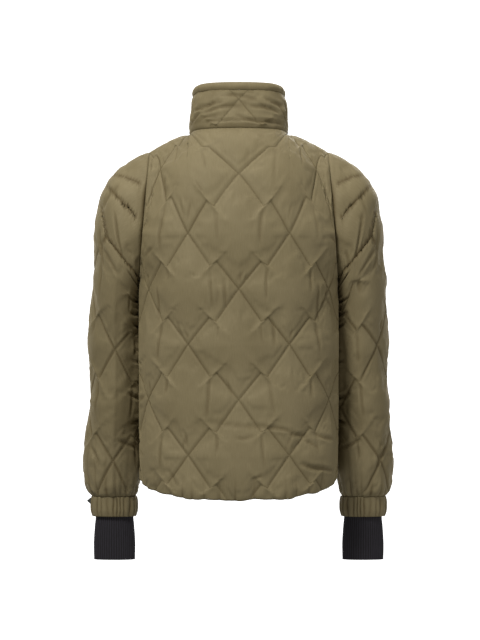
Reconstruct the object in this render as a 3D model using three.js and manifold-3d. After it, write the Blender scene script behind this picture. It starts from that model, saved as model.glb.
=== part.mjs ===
// A quilted jacket with a stand collar, elastic cuffs and stretch wristlets, filled out as when worn.
// Millimetres, +Z up. The origin is the back of the neck seam's height, midway between the shoulders.
// -Y is the jacket's back, +Y its front, and -X the wearer's left.
import * as THREE from "three";
import Module from "manifold-3d";
import { mergeVertices } from "three/addons/utils/BufferGeometryUtils.js";

const { PI, abs, sin, cos, min, max, sign } = Math;
const { lerp, clamp, degToRad } = THREE.MathUtils;

// Cloth
const WALL = 2.5; // shell, wadding and lining where stitches press them flat
const COLLAR_WALL = 5; // the collar is two padded layers
const SEAM_GAP = 0.3; // what parts two pieces that are sewn together
const PUFF = 9; // how far a diamond swells above its stitch lines
const SEAM_RISE = 3.5; // how far padding lifts shoulder, side and armhole seams
const PRESSED = 0.45; // the share of that swell where sleeve and side press together

// Quilting: stitch lines cross every half diamond, and each line steps sideways half-way along
const HALF_WIDE = 93.5;
const HALF_TALL = 101.5;
const CELLS = 5; // grid cells in each half diamond
const STEP = 0.1; // sideways step, as a share of half a diamond
const FIRST_CROSSING = -95; // height of the first crossing below the neck

// Body
const SQUARENESS = 2.4; // exponent of the body's section: 2 is an ellipse
const LAST_COLUMN = 2.8; // the side seam, in half diamonds from the middle
const EVEN_COLUMNS = 2; // up to here the half diamonds have their full width
const HEM_ROW = -5; // the last full row, below which rows follow the hem
const HEM_CELLS = 4;
const CHEST_ROW = -1; // the row where the armhole is deepest
const UNDERARM_ROW = -1.8;
const SHOULDER = { x: 166, z: -45 };
const UNDERARM_X = 184;
const ARMHOLE_DEPTH = 78; // half the armhole's depth, front to back
const ZIP_EDGE = 8; // from the middle to the front edge that the zip is sewn to

// Neck and collar
const NECK = { half: 90, back: 75, front: 84, sideZ: -10, frontDrop: 48, sideFall: 35 };
const NECK_MITRE = degToRad(28); // upward tilt of the seam between body and collar
const NECK_RISE = 0.4; // how fast the wadding swells away from the neck seam, beside other seams
const COLLAR_TOP = { half: 82.5, back: 69, front: 76, forward: 6 };
const COLLAR_CROSSING = 53; // height of the collar's own crossing at the back
const COLLAR_HALF_TALL = 88;
const COLLAR_ROWS = [-0.6, 0.2]; // first and last row of the collar's quilting
const COLLAR_COLUMN = 2.9; // half diamonds from the middle of its back to the zip
const COLLAR_PUFF = 5.5;
const BAND = { height: 14.5, bulge: 4.5, cells: 4 };

const rowHeight = (row) => FIRST_CROSSING + HALF_TALL * row;
const UNDERARM_Z = rowHeight(UNDERARM_ROW);
const CHEST_Z = rowHeight(CHEST_ROW);

// Half width and depths of the body's sections, at their heights
const BODY_SECTIONS = [
  { z: -700, half: 172, back: 131, front: 134 },
  { z: -665, half: 181, back: 138, front: 140 },
  { z: -606, half: 182, back: 141, front: 144 },
  { z: -540, half: 182, back: 139, front: 145 },
  { z: -440, half: 182, back: 140, front: 147 },
  { z: -345, half: 182, back: 146, front: 150 },
  { z: -310, half: 183, back: 149, front: 151 },
  { z: UNDERARM_Z, half: UNDERARM_X, back: 150, front: 151 },
  { z: CHEST_Z, half: UNDERARM_X, back: 149, front: 145 },
];

// Sections of a sleeve, from the armhole to the cuff. Each joins a point of its outer line to one of its inner line.
// depth is half its front-to-back size, forward how far its middle is swung to the front, widest where along the
// section that depth is reached, and row the quilting row.
const SLEEVE_SECTIONS = [
  { row: -4.6, outerX: 276, outerZ: -688, innerX: 195, innerZ: -688, depth: 38, forward: 73, widest: 0.5 },
  { row: -4.4, outerX: 282, outerZ: -664, innerX: 191, innerZ: -664, depth: 49, forward: 73, widest: 0.5 },
  { row: -4.0, outerX: 284, outerZ: -618, innerX: 186, innerZ: -620, depth: 57, forward: 71, widest: 0.5 },
  { row: -3.5, outerX: 282, outerZ: -565, innerX: 184.5, innerZ: -570, depth: 62, forward: 67, widest: 0.5 },
  { row: -3.0, outerX: 277, outerZ: -508, innerX: 184, innerZ: -520, depth: 66, forward: 61, widest: 0.5 },
  { row: -2.5, outerX: 274, outerZ: -450, innerX: 184, innerZ: -470, depth: 69, forward: 54, widest: 0.5 },
  { row: -2.0, outerX: 275, outerZ: -395, innerX: 184.5, innerZ: -425, depth: 71, forward: 46, widest: 0.5 },
  { row: -1.5, outerX: 273, outerZ: -335, innerX: 186, innerZ: -385, depth: 73, forward: 36, widest: 0.5 },
  { row: -1.0, outerX: 269, outerZ: -275, innerX: 187.5, innerZ: -345, depth: 75, forward: 24, widest: 0.48 },
  { row: -0.6, outerX: 265, outerZ: -218, innerX: 188, innerZ: -322, depth: 77, forward: 14, widest: 0.45 },
  { row: -0.3, outerX: 260, outerZ: -170, innerX: 187, innerZ: -308, depth: 78, forward: 8, widest: 0.43 },
  { row: 0.0, outerX: 251, outerZ: -127, innerX: 186, innerZ: -298, depth: 79, forward: 4, widest: 0.41 },
  { row: 0.2, outerX: 239, outerZ: -98, innerX: 185.2, innerZ: -291, depth: 79.5, forward: 2, widest: 0.4 },
  { row: 0.4, outerX: 222, outerZ: -77, innerX: 184.8, innerZ: -287, depth: 79.5, forward: 1, widest: 0.37 },
  { row: 0.6, outerX: 203, outerZ: -64, innerX: 184.5, innerZ: -284, depth: 79, forward: 1, widest: 0.36 },
  { row: 0.8, outerX: 184.5, outerZ: -53.5, innerX: 184.2, innerZ: -281, depth: 78.5, forward: 0, widest: 0.355 },
  {
    row: 1, outerX: SHOULDER.x, outerZ: SHOULDER.z, innerX: UNDERARM_X, innerZ: UNDERARM_Z, depth: ARMHOLE_DEPTH,
    forward: 0, widest: (CHEST_Z - UNDERARM_Z) / (SHOULDER.z - UNDERARM_Z),
  },
];
const SLEEVE_TURN = { left: -1, right: -0.6 }; // turns each sleeve's quilting round the arm, in half diamonds
const SLEEVE_AROUND = 4; // half diamonds round a sleeve

// Elastic cuff and stretch wristlet, by height
const CUFF_SECTIONS = [
  { z: -726, half: 39, depth: 30 },
  { z: -716, half: 41.5, depth: 33.5 },
  { z: -705, half: 42, depth: 35 },
  { z: -697, half: 42, depth: 36 },
  { z: -688, half: 41, depth: 38 },
];
const CUFF = { x: 235.5, forward: 73, gathers: 20, gatherDepth: 2.4, cellsEach: 4, wall: 2 };
const WRISTLET_SECTIONS = [
  { z: -808, half: 38.5, depth: 21 },
  { z: -778, half: 39, depth: 23 },
  { z: -744, half: 37, depth: 25 },
  { z: -726, half: 35.5, depth: 26 },
  { z: -703, half: 38.8, depth: 32.2 },
];
const WRISTLET = { x: 235, forward: 73, around: 28, rows: 8, wall: 1.4 };

// Zip, with its slider at the top of the collar
const TAPE = { inner: 3.3, outer: ZIP_EDGE - SEAM_GAP, front: -0.6, back: -1.8 };
const CHAIN = { half: 3, front: 0.2, back: -2.4 };
const SLIDER = { half: 4.5, height: 11, plate: 1.3, bridgeHalf: 2.6, bridge: 3.2, ringUp: 6 };
const BAIL = { half: 0.9, inner: 1.6, outer: 2.8 }; // the ring on the slider that the pull hangs from
const PULL = { half: 3.5, slotHalf: 1.3, barRadius: 1.2, slot: 4.6, length: 27, thick: 1.5 };

const TAB = { reach: 7, root: 13, thick: 1.6, z: -697 }; // small pointed tab on the left cuff's outer side

const OLIVE = { color: 0x7a6f4e, roughness: 0.55, metalness: 0 };
const BLACK_KNIT = { color: 0x26252b, roughness: 0.85, metalness: 0 };
const DARK_RUBBER = { color: 0x33352f, roughness: 0.6, metalness: 0 };
const DARK_METAL = { color: 0x3a3a38, roughness: 0.4, metalness: 0.8 };

const jacket = new THREE.Group();
const v3 = (x, y, z) => new THREE.Vector3(x, y, z);

function addPiece(name, geometry, look, parent = jacket) {
  const mesh = new THREE.Mesh(geometry, new THREE.MeshStandardMaterial(look));
  mesh.name = name;
  parent.add(mesh);
  return mesh;
}

// Reads a table of named columns as smooth curves of its first column.
function smoothTable(rows, key) {
  const columns = Object.keys(rows[0]).filter((name) => name !== key);
  const curve = new THREE.CubicInterpolant(
    rows.map((row) => row[key]),
    rows.flatMap((row) => columns.map((name) => row[name])),
    columns.length,
  );
  return (position) => {
    const values = curve.evaluate(clamp(position, rows[0][key], rows.at(-1)[key]));
    return Object.fromEntries(columns.map((name, i) => [name, values[i]]));
  };
}
const bodySection = smoothTable(BODY_SECTIONS, "z");
const sleeveSection = smoothTable(SLEEVE_SECTIONS, "row");
const cuffSection = smoothTable(CUFF_SECTIONS, "z");
const wristletSection = smoothTable(WRISTLET_SECTIONS, "z");

// Distance from a stitch line, 0 on it and 1 in a diamond's middle, and the sideways shift that steps the line.
function quilting(column, row) {
  const fold = (value) => {
    const turn = ((value % 2) + 2) % 2;
    return turn <= 1 ? [turn, 1] : [2 - turn, -1];
  };
  const [across, direction] = fold(column);
  const [up] = fold(row);
  const along = (across + up) / 2;
  const offLine = abs(across - up);
  const side = along < 0.5 ? -2 * STEP * along : 2 * STEP * (1 - along);
  const near = max(0, 1 - offLine / (1 - 1 / CELLS)) * clamp(3 * min(across, 1 - across), 0, 1);
  return { swell: pillow(offLine), shift: direction * side * near };
}

// Whether the stitch line through a place climbs to the right.
const climbs = (column, row) => (Math.floor(column + 1e-6) + Math.floor(row + 1e-6)) % 2 === 0;

const pillow = (distance) => sin((PI / 2) * clamp(distance, 0, 1)) ** 0.6;

// The normal of a grid of points at one of them, from its neighbours.
function gridNormal(grid, i, j, ring) {
  const last = grid[0].length - 1;
  const before = ring ? grid[i][(j + last) % (last + 1)] : grid[i][max(j - 1, 0)];
  const after = ring ? grid[i][(j + 1) % (last + 1)] : grid[i][min(j + 1, last)];
  const across = after.clone().sub(before);
  const up = grid[min(i + 1, grid.length - 1)][j].clone().sub(grid[max(i - 1, 0)][j]);
  return across.cross(up).normalize();
}

// A closed wall between an outer grid and an inner grid. The plain inside keeps every second point away from its
// borders. In a ring, the last column joins the first. rising says which way each outer cell's diagonal runs.
function wallGeometry(outer, inner, { ring = false, plain = true, rising = (i, j) => (i + j) % 2 === 0 } = {}) {
  const points = [];
  const faces = [];
  const lastRow = outer.length - 1;
  const width = outer[0].length;
  const lastColumn = ring ? width : width - 1;
  const numbered = (grid) => {
    const seen = new Map();
    return (i, j) => {
      const key = i * width + (j % width);
      if (!seen.has(key)) seen.set(key, points.push(grid[i][j % width]) - 1);
      return seen.get(key);
    };
  };
  const outside = numbered(outer);
  const inside = numbered(inner);
  const quad = (a, b, c, d, up = true) => {
    if (up) faces.push([a, b, c], [a, c, d]);
    else faces.push([a, b, d], [b, c, d]);
  };
  for (let i = 0; i < lastRow; i++) {
    for (let j = 0; j < lastColumn; j++) {
      quad(outside(i, j), outside(i, j + 1), outside(i + 1, j + 1), outside(i + 1, j), rising(i, j));
    }
  }
  const step = plain ? 2 : 1;
  for (let i = 0; i < lastRow; i += step) {
    for (let j = 0; j < lastColumn; j += step) {
      const [up, along] = [i + step, j + step];
      const corners = [
        [i, j],
        plain && i === 0 && [i, j + 1],
        [i, along],
        plain && !ring && along === lastColumn && [i + 1, along],
        [up, along],
        plain && up === lastRow && [up, j + 1],
        [up, j],
        plain && !ring && j === 0 && [i + 1, j],
      ].filter(Boolean);
      const loop = corners.map(([row, column]) => inside(row, column)).toReversed();
      if (loop.length === 4) quad(...loop, (i + j) % 4 === 0);
      else loop.forEach((corner, k) => faces.push([inside(i + 1, j + 1), corner, loop[(k + 1) % loop.length]]));
    }
  }
  const rim = (cells) => {
    for (let k = 0; k + 1 < cells.length; k++) {
      const [here, next] = [cells[k], cells[k + 1]];
      quad(outside(...next), outside(...here), inside(...here), inside(...next));
    }
  };
  const along = (count, cell) => Array.from({ length: count + 1 }, (_, k) => cell(k));
  rim(along(lastColumn, (k) => [0, k]));
  rim(along(lastColumn, (k) => [lastRow, lastColumn - k]));
  if (!ring) {
    rim(along(lastRow, (k) => [lastRow - k, 0]));
    rim(along(lastRow, (k) => [k, lastColumn]));
  }
  return facingOut(points, faces);
}

function facingOut(points, faces) {
  const volume = faces.reduce((sum, [a, b, c]) => sum + points[a].dot(points[b].clone().cross(points[c])), 0);
  const geometry = new THREE.BufferGeometry();
  geometry.setAttribute("position", new THREE.Float32BufferAttribute(points.flatMap((p) => p.toArray()), 3));
  geometry.setIndex(volume < 0 ? faces.flatMap((face) => face.toReversed()) : faces.flat());
  geometry.computeVertexNormals();
  return geometry;
}

// Body form

// Half the body's width at the armhole's plane.
const armholeX = (z) => lerp(UNDERARM_X, SHOULDER.x, (z - UNDERARM_Z) / (SHOULDER.z - UNDERARM_Z));

// How far behind or in front of the shoulder line the armhole's edge lies, below its deepest point.
function armholeReach(z) {
  const fall = clamp((CHEST_Z - z) / (CHEST_Z - UNDERARM_Z), 0, 1);
  return ARMHOLE_DEPTH * (1 - fall ** 2) ** 0.5;
}

// A level line of the body, from near the middle to the side seam or armhole. side is -1 at the back and 1 in front.
class BodyLine extends THREE.Curve {
  constructor(z, side, fromX) {
    super();
    const section = bodySection(z);
    const depth = side < 0 ? section.back : section.front;
    const atArmhole = z > UNDERARM_Z + 1e-6;
    const reach = atArmhole ? armholeReach(z) : 0;
    const edge = atArmhole ? armholeX(z) : section.half;
    const half = edge / (1 - (reach / depth) ** SQUARENESS) ** (1 / SQUARENESS);
    const angleAt = (x) => Math.asin(min(1, (x / half) ** (SQUARENESS / 2)));
    Object.assign(this, { z, side, depth, half, first: angleAt(fromX), last: angleAt(edge) });
  }
  getPoint(t) {
    const angle = lerp(this.first, this.last, t);
    const x = this.half * sin(angle) ** (2 / SQUARENESS);
    const y = this.side * this.depth * max(0, cos(angle)) ** (2 / SQUARENESS);
    return v3(x, y, this.z);
  }
}

// The share of a level line at a quilting column.
function columnShare(column, length) {
  const even = EVEN_COLUMNS * HALF_WIDE;
  const beyond = max(0, column - EVEN_COLUMNS) / (LAST_COLUMN - EVEN_COLUMNS);
  return clamp((min(column, EVEN_COLUMNS) * HALF_WIDE + beyond * (length - even)) / length, 0, 1);
}

// The neck seam, by its angle from the middle of the back.
function neckPoint(angle) {
  const depth = cos(angle) > 0 ? NECK.back : NECK.front;
  const z = -NECK.frontDrop * ((1 - cos(angle)) / 2) ** 2.26;
  return v3(NECK.half * sin(angle), -depth * cos(angle), z);
}

// The body's top edge at a column: the neck seam up to column 1, then the shoulder seam.
function topEdge(column, side, fromX) {
  const first = Math.asin(fromX / NECK.half);
  if (column <= 1) {
    const turn = lerp(first, PI / 2, column);
    return neckPoint(side < 0 ? turn : PI - turn);
  }
  const share = (column - 1) / (LAST_COLUMN - 1);
  const z = NECK.sideZ - NECK.sideFall * share ** 1.1;
  return v3(lerp(NECK.half, SHOULDER.x, share), 0, z);
}

function hemHeight(column, side) {
  const share = column / LAST_COLUMN;
  return side < 0 ? lerp(-685, -642, share ** 2.1) : lerp(-652, -643, share ** 2);
}

// A point of the stitched surface of the back or front, by quilting column and row.
function bodyPoint(column, row, side, fromX) {
  if (row <= CHEST_ROW) {
    const deepest = rowHeight(HEM_ROW);
    const hemShare = (HEM_ROW - row) / (HEM_CELLS / CELLS);
    const z = row >= HEM_ROW ? rowHeight(row) : lerp(deepest, hemHeight(column, side), hemShare);
    const line = new BodyLine(z, side, fromX);
    return line.getPointAt(columnShare(column, line.getLength()));
  }
  const start = bodyPoint(column, CHEST_ROW, side, fromX);
  const end = topEdge(column, side, fromX);
  const turn = lerp(degToRad(52), PI / 2, clamp(column, 0, 1) ** 2);
  const angle = (turn * (row - CHEST_ROW)) / (1 - CHEST_ROW);
  const rise = sin(angle) / sin(turn);
  const lean = (1 - cos(angle)) / (1 - cos(turn));
  return v3(lerp(start.x, end.x, rise), lerp(start.y, end.y, lean), lerp(start.z, end.z, rise));
}

// Upward tilt of both pieces' edges at the neck seam.
function neckMitre(point) {
  const out = v3(point.x / NECK.half ** 2, point.y / NECK.back ** 2, 0).normalize();
  return out.multiplyScalar(cos(NECK_MITRE)).add(v3(0, 0, sin(NECK_MITRE)));
}

// How far a seam between padded pieces stands out. It lies flat at the underarm.
const seamRise = (z) => SEAM_RISE * clamp(abs(z - UNDERARM_Z) / 40, 0, 1);

const armholeNormal = v3(1, 0, -(SHOULDER.x - UNDERARM_X) / (SHOULDER.z - UNDERARM_Z)).normalize();

// The sheet that keeps sleeve and body apart: the armhole's plane, then a near-vertical fall below it. Lower down,
// the sleeve hangs before the body's widest part, so the sheet curves in behind it.
const APART = { z: UNDERARM_Z - 32, x: 186, gap: 0.35, curve: 6, curveFrom: 15, curveTo: 50, curveFall: 60 };
function between(z, y) {
  if (z > UNDERARM_Z) return armholeX(z) + SEAM_GAP / 2;
  const straight = lerp(UNDERARM_X + SEAM_GAP / 2, APART.x, clamp((UNDERARM_Z - z) / (UNDERARM_Z - APART.z), 0, 1));
  const inFront = THREE.MathUtils.smoothstep(y, APART.curveFrom, APART.curveTo);
  return straight - APART.curve * inFront * clamp((APART.z - z) / APART.curveFall, 0, 1);
}

// A back or front panel. columns run from first to last, and negative ones mirror to the wearer's left.
function bodyPanel(columns, side, fromX) {
  const rows = [];
  for (let k = -HEM_CELLS; k <= (1 - HEM_ROW) * CELLS; k++) rows.push(HEM_ROW + k / CELLS);
  const mirrored = (column, row) => {
    const { shift } = quilting(column, row);
    const inside = abs(column) < LAST_COLUMN - 0.1 && (side < 0 || abs(column) > 0.1);
    const stepped = inside ? abs(column + shift) : abs(column);
    const point = bodyPoint(min(stepped, LAST_COLUMN), row, side, fromX);
    point.x *= column < 0 ? -1 : 1;
    point.y += (side * SEAM_GAP) / 2;
    return point;
  };
  const form = rows.map((row) => columns.map((column) => mirrored(column, row)));
  const outer = [];
  const inner = [];
  rows.forEach((row, i) => {
    outer.push([]);
    inner.push([]);
    columns.forEach((column, j) => {
      const point = form[i][j];
      const normal = gridNormal(form, i, j, false).multiplyScalar(-side);
      const top = i === rows.length - 1;
      const atSide = abs(abs(column) - LAST_COLUMN) < 0.01;
      if (atSide && row > UNDERARM_ROW - 0.01) {
        const plane = armholeNormal.clone();
        plane.x *= sign(column);
        normal.projectOnPlane(plane);
      }
      if ((atSide && row < UNDERARM_ROW + 0.01) || (top && abs(column) > 1.01)) normal.y = 0;
      if (top && abs(column) <= 1.01) normal.copy(neckMitre(point));
      if (side > 0 && abs(column) < 0.01) normal.x = 0;
      normal.normalize();
      const toEdge = min(
        (LAST_COLUMN - abs(column)) * CELLS,
        side > 0 ? abs(column) * CELLS : Infinity,
        (rows.length - 1 - i) * lerp(NECK_RISE, 1, clamp(abs(column) - 1, 0, 1)),
        i + 0.25,
      );
      const pressed = row < UNDERARM_ROW ? lerp(1, PRESSED, clamp((abs(column) - 2) / 0.5, 0, 1)) : 1;
      const away = pillow(toEdge / 1.6);
      const atSeam = seamRise(point.z) * clamp((abs(column) - 1) / 0.4, 0, 1) * clamp(i / HEM_CELLS, 0, 1);
      const swell = lerp(atSeam, PUFF * quilting(column, row).swell * pressed, away);
      const raised = point.clone().addScaledVector(normal, swell);
      const limit = max(between(raised.z, raised.y) - APART.gap, abs(point.x));
      if (!atSide || row < UNDERARM_ROW) raised.x = clamp(raised.x, -limit, limit);
      outer[i].push(raised);
      inner[i].push(point.clone().addScaledVector(normal, -WALL));
    });
  });
  const rising = (i, j) => climbs(columns[j], rows[i]);
  return { geometry: wallGeometry(outer, inner, { rising }), form };
}

const columnsFrom = (first, last) => {
  const count = Math.round((last - first) * CELLS);
  return Array.from({ length: count + 1 }, (_, k) => first + k / CELLS);
};

addPiece("back", bodyPanel(columnsFrom(-LAST_COLUMN, LAST_COLUMN), -1, 0).geometry, OLIVE);
const frontRight = bodyPanel(columnsFrom(0, LAST_COLUMN), 1, ZIP_EDGE);
addPiece("front_right", frontRight.geometry, OLIVE);
const mirrorX = (geometry) => {
  const copy = geometry.clone().scale(-1, 1, 1);
  copy.setIndex(Array.from(copy.index.array).toReversed());
  return copy;
};
addPiece("front_left", mirrorX(frontRight.geometry), OLIVE);

// Sleeves

// A point of a sleeve's stitched surface. The angle runs from the outer line over the back.
function sleevePoint(row, angle) {
  const { outerX, outerZ, innerX, innerZ, depth, forward, widest } = sleeveSection(row);
  const share = widest + (cos(angle) > 0 ? 1 - widest : widest) * cos(angle);
  return v3(lerp(innerX, outerX, share), forward - depth * sin(angle), lerp(innerZ, outerZ, share));
}

function sleeveWall(turn) {
  const around = SLEEVE_AROUND * CELLS;
  const [bottom, top] = [SLEEVE_SECTIONS[0].row, SLEEVE_SECTIONS.at(-1).row];
  const rows = columnsFrom(bottom, top);
  const angleOf = (column) => (column * 2 * PI) / SLEEVE_AROUND;
  const form = rows.map((row, i) =>
    Array.from({ length: around }, (_, j) => {
      const column = j / CELLS;
      const inside = i > 0 && i < rows.length - 1;
      const { shift } = quilting(column + turn, row);
      const point = sleevePoint(row, angleOf(column + (inside ? shift : 0)));
      return point.add(v3(SEAM_GAP, 0, 0));
    }),
  );
  const outer = [];
  const inner = [];
  rows.forEach((row, i) => {
    outer.push([]);
    inner.push([]);
    for (let j = 0; j < around; j++) {
      const column = j / CELLS;
      const normal = gridNormal(form, i, j, true).negate();
      if (i === rows.length - 1) normal.projectOnPlane(armholeNormal);
      if (i === 0) normal.z = 0;
      normal.normalize();
      const facingBody = pillow(clamp(-cos(angleOf(column)) * 2, 0, 1));
      const away = pillow(min(i, rows.length - 1 - i) / 1.6);
      const atSeam = i > 0 ? seamRise(form[i][j].z) : 0;
      const swell = lerp(atSeam, PUFF * quilting(column + turn, row).swell * lerp(1, PRESSED, facingBody), away);
      const raised = form[i][j].clone().addScaledVector(normal, swell);
      if (i < rows.length - 1) raised.x = max(raised.x, between(raised.z, raised.y) + APART.gap);
      outer[i].push(raised);
      inner[i].push(form[i][j].clone().addScaledVector(normal, -WALL));
    }
  });
  return wallGeometry(outer, inner, { ring: true, rising: (i, j) => climbs(j / CELLS + turn, rows[i]) });
}
addPiece("sleeve_right", sleeveWall(SLEEVE_TURN.right), OLIVE);
addPiece("sleeve_left", mirrorX(sleeveWall(SLEEVE_TURN.left)), OLIVE);

// Cuffs and wristlets

// A tube whose sections come from a table, with waves round it.
function sectionTube(section, place, heights, around, wall, wave) {
  const level = (z, inset) => {
    const { half, depth } = section(z);
    return Array.from({ length: around }, (_, j) => {
      const angle = (j / around) * 2 * PI;
      const grow = inset === 0 ? wave(angle, z) : -inset;
      return v3(place.x + (half + grow) * cos(angle), place.forward - (depth + grow) * sin(angle), z);
    });
  };
  return wallGeometry(heights.map((z) => level(z, 0)), heights.map((z) => level(z, wall)), { ring: true });
}

const evenly = (from, to, steps) => Array.from({ length: steps + 1 }, (_, k) => lerp(from, to, k / steps));

function cuffWall() {
  const heights = evenly(CUFF_SECTIONS[0].z, CUFF_SECTIONS.at(-1).z - SEAM_GAP, 4);
  const gather = (angle, z) => {
    const full = pillow((z - heights[0]) / 6);
    const fold = abs(sin((CUFF.gathers / 2) * angle)) ** 0.7;
    return CUFF.gatherDepth * fold * lerp(0.3, 1, full);
  };
  return sectionTube(cuffSection, CUFF, heights, CUFF.gathers * CUFF.cellsEach, CUFF.wall, gather);
}

function wristletWall() {
  const heights = evenly(WRISTLET_SECTIONS[0].z, WRISTLET_SECTIONS.at(-1).z, WRISTLET.rows);
  return sectionTube(wristletSection, WRISTLET, heights, WRISTLET.around, WRISTLET.wall, () => 0);
}

const cuff = cuffWall();
addPiece("cuff_right", cuff, OLIVE);
addPiece("cuff_left", mirrorX(cuff), OLIVE);

// The tab points outwards from the first gather behind the cuff's outer line.
const tabTurn = PI / CUFF.gathers;
const tabRoot = cuffSection(TAB.z);
const tabShape = new THREE.Shape([
  new THREE.Vector2(0, -TAB.root / 2), new THREE.Vector2(TAB.reach, -0.6), new THREE.Vector2(TAB.reach, 0.6),
  new THREE.Vector2(0, TAB.root / 2),
]);
const tab = new THREE.ExtrudeGeometry(tabShape, { depth: TAB.thick, bevelEnabled: false });
tab.rotateX(PI / 2).translate(
  CUFF.x + (tabRoot.half + CUFF.gatherDepth) * cos(tabTurn) + SEAM_GAP,
  CUFF.forward - (tabRoot.depth + CUFF.gatherDepth) * sin(tabTurn) + TAB.thick / 2,
  TAB.z,
);
for (const name of ["normal", "uv"]) tab.deleteAttribute(name);
addPiece("cuff_tab", mirrorX(mergeVertices(tab)), DARK_RUBBER);

const wristlet = wristletWall();
addPiece("wristlet_right", wristlet, BLACK_KNIT);
addPiece("wristlet_left", mirrorX(wristlet), BLACK_KNIT);

// Collar

// The collar has two columns for each one of the body's neck edge, so that both edges follow the same line.
const COLLAR_CELLS = 4 * CELLS;
const zipAngle = PI - Math.asin(ZIP_EDGE / NECK.half);
const collarAngle = (cell) => {
  const share = abs(cell) / COLLAR_CELLS;
  return sign(cell) * (share <= 0.5 ? share * PI : lerp(PI / 2, zipAngle, 2 * share - 1));
};

// A point of the collar's stitched surface, by column from the middle of the back and share of its height.
function collarPoint(cell, share, height) {
  if (share < 1e-6 && abs(cell) % 2 === 1) {
    return collarPoint(cell - 1, 0, height).lerp(collarPoint(cell + 1, 0, height), 0.5);
  }
  const angle = collarAngle(cell);
  const front = cos(angle) < 0;
  const half = lerp(NECK.half, COLLAR_TOP.half, share);
  const depth = lerp(front ? NECK.front : NECK.back, front ? COLLAR_TOP.front : COLLAR_TOP.back, share);
  const x = abs(cell) === COLLAR_CELLS ? sign(cell) * ZIP_EDGE : half * sin(angle);
  return v3(x, -depth * cos(angle) + COLLAR_TOP.forward * share, neckPoint(angle).z + height);
}

const collarHeight = COLLAR_CROSSING + COLLAR_HALF_TALL * COLLAR_ROWS[1];
const collarBottom = COLLAR_CROSSING + COLLAR_HALF_TALL * COLLAR_ROWS[0];

// A strip of the collar through some heights. swellAt gives how far each point stands out, and wallAt how far it
// goes in.
function collarStrip(heights, swellAt, wallAt) {
  const cells = Array.from({ length: 2 * COLLAR_CELLS + 1 }, (_, k) => k - COLLAR_CELLS);
  const full = collarHeight - collarBottom + BAND.height;
  const form = heights.map((height) =>
    cells.map((cell) => collarPoint(cell, (height - collarBottom) / full, height - collarBottom + SEAM_GAP)),
  );
  const outer = [];
  const inner = [];
  heights.forEach((height, i) => {
    outer.push([]);
    inner.push([]);
    cells.forEach((cell, j) => {
      const point = form[i][j];
      const normal = v3(point.x / NECK.half ** 2, point.y / NECK.back ** 2, 0).normalize();
      const mitred = max(0, 1 - (height - collarBottom) / 40);
      normal.lerp(neckMitre(point), mitred);
      if (j === 0 || j === cells.length - 1) normal.x = 0;
      normal.normalize();
      const toEnd = min(j, cells.length - 1 - j);
      outer[i].push(point.clone().addScaledVector(normal, swellAt(cell, height, i, toEnd)));
      inner[i].push(point.clone().addScaledVector(normal, -wallAt(i)));
    });
  });
  return { geometry: wallGeometry(outer, inner), form };
}

const collarRows = columnsFrom(...COLLAR_ROWS).map((row) => COLLAR_CROSSING + COLLAR_HALF_TALL * row);
const collar = collarStrip(
  collarRows,
  (cell, height, i, toEnd) => {
    const column = (cell * COLLAR_COLUMN) / COLLAR_CELLS;
    const row = (height - COLLAR_CROSSING) / COLLAR_HALF_TALL;
    const toEdge = min(toEnd / 2, i, collarRows.length - 0.8 - i);
    return COLLAR_PUFF * quilting(column, row).swell * pillow(toEdge / 1.4);
  },
  () => COLLAR_WALL,
);
addPiece("collar", collar.geometry, OLIVE);

const bandHeights = evenly(collarHeight + SEAM_GAP, collarHeight + SEAM_GAP + BAND.height, BAND.cells);
const roll = (i) => sin((PI * (i + 0.4)) / (BAND.cells + 0.8));
const atTop = (i) => (i === BAND.cells ? 1 : 0);
const band = collarStrip(
  bandHeights,
  (cell, height, i, toEnd) => BAND.bulge * roll(i) * pillow(0.25 + toEnd / 3) - 1.5 * atTop(i),
  (i) => lerp(COLLAR_WALL - 2, COLLAR_WALL, roll(i)) - atTop(i),
);
addPiece("collar_band", band.geometry, OLIVE);

// Zip: two tapes and the closed chain follow the front edges from hem to collar

const zipLine = [
  ...frontRight.form.map((line) => line[0]).filter((_, i) => i % 2 === 0),
  ...collar.form.map((line) => line.at(-1)).slice(1),
  ...band.form.map((line) => line.at(-1)).slice(2, -1),
].map((point) => v3(0, point.y, point.z));
const zipNormal = (k) => {
  const along = zipLine[min(k + 1, zipLine.length - 1)].clone().sub(zipLine[max(k - 1, 0)]);
  return v3(0, along.z, -along.y).normalize();
};

// A bar along the zip, between two distances from the middle and two depths.
function zipBar(low, high, front, back, line = zipLine) {
  const side = (depth) =>
    line.map((point, k) => [low, high].map((x) => point.clone().addScaledVector(zipNormal(k), depth).setX(x)));
  return wallGeometry(side(front), side(back), { plain: false });
}

const tape = zipBar(TAPE.inner, TAPE.outer, TAPE.front, TAPE.back);
addPiece("zip_tape_right", tape, DARK_RUBBER);
addPiece("zip_tape_left", mirrorX(tape), DARK_RUBBER);

const zipTop = zipLine.at(-1);
const topNormal = zipNormal(zipLine.length - 1);
const alongZip = v3(0, -topNormal.z, topNormal.y);

// The chain ends just below the slider's bridge.
const chainLine = [...zipLine.slice(0, -1), zipTop.clone().addScaledVector(alongZip, -SLIDER.bridge - SEAM_GAP)];
addPiece("zip_chain", zipBar(-CHAIN.half, CHAIN.half, CHAIN.front, CHAIN.back, chainLine), DARK_METAL);

const wasm = await Module();
wasm.setup();

// A three.js geometry as a solid that can be joined and cut, and back again.
function solid(geometry) {
  for (const name of ["normal", "uv"]) geometry.deleteAttribute(name);
  const { attributes, index } = mergeVertices(geometry);
  const mesh = new wasm.Mesh({ numProp: 3, vertProperties: attributes.position.array, triVerts: index.array });
  return new wasm.Manifold(mesh);
}

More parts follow.
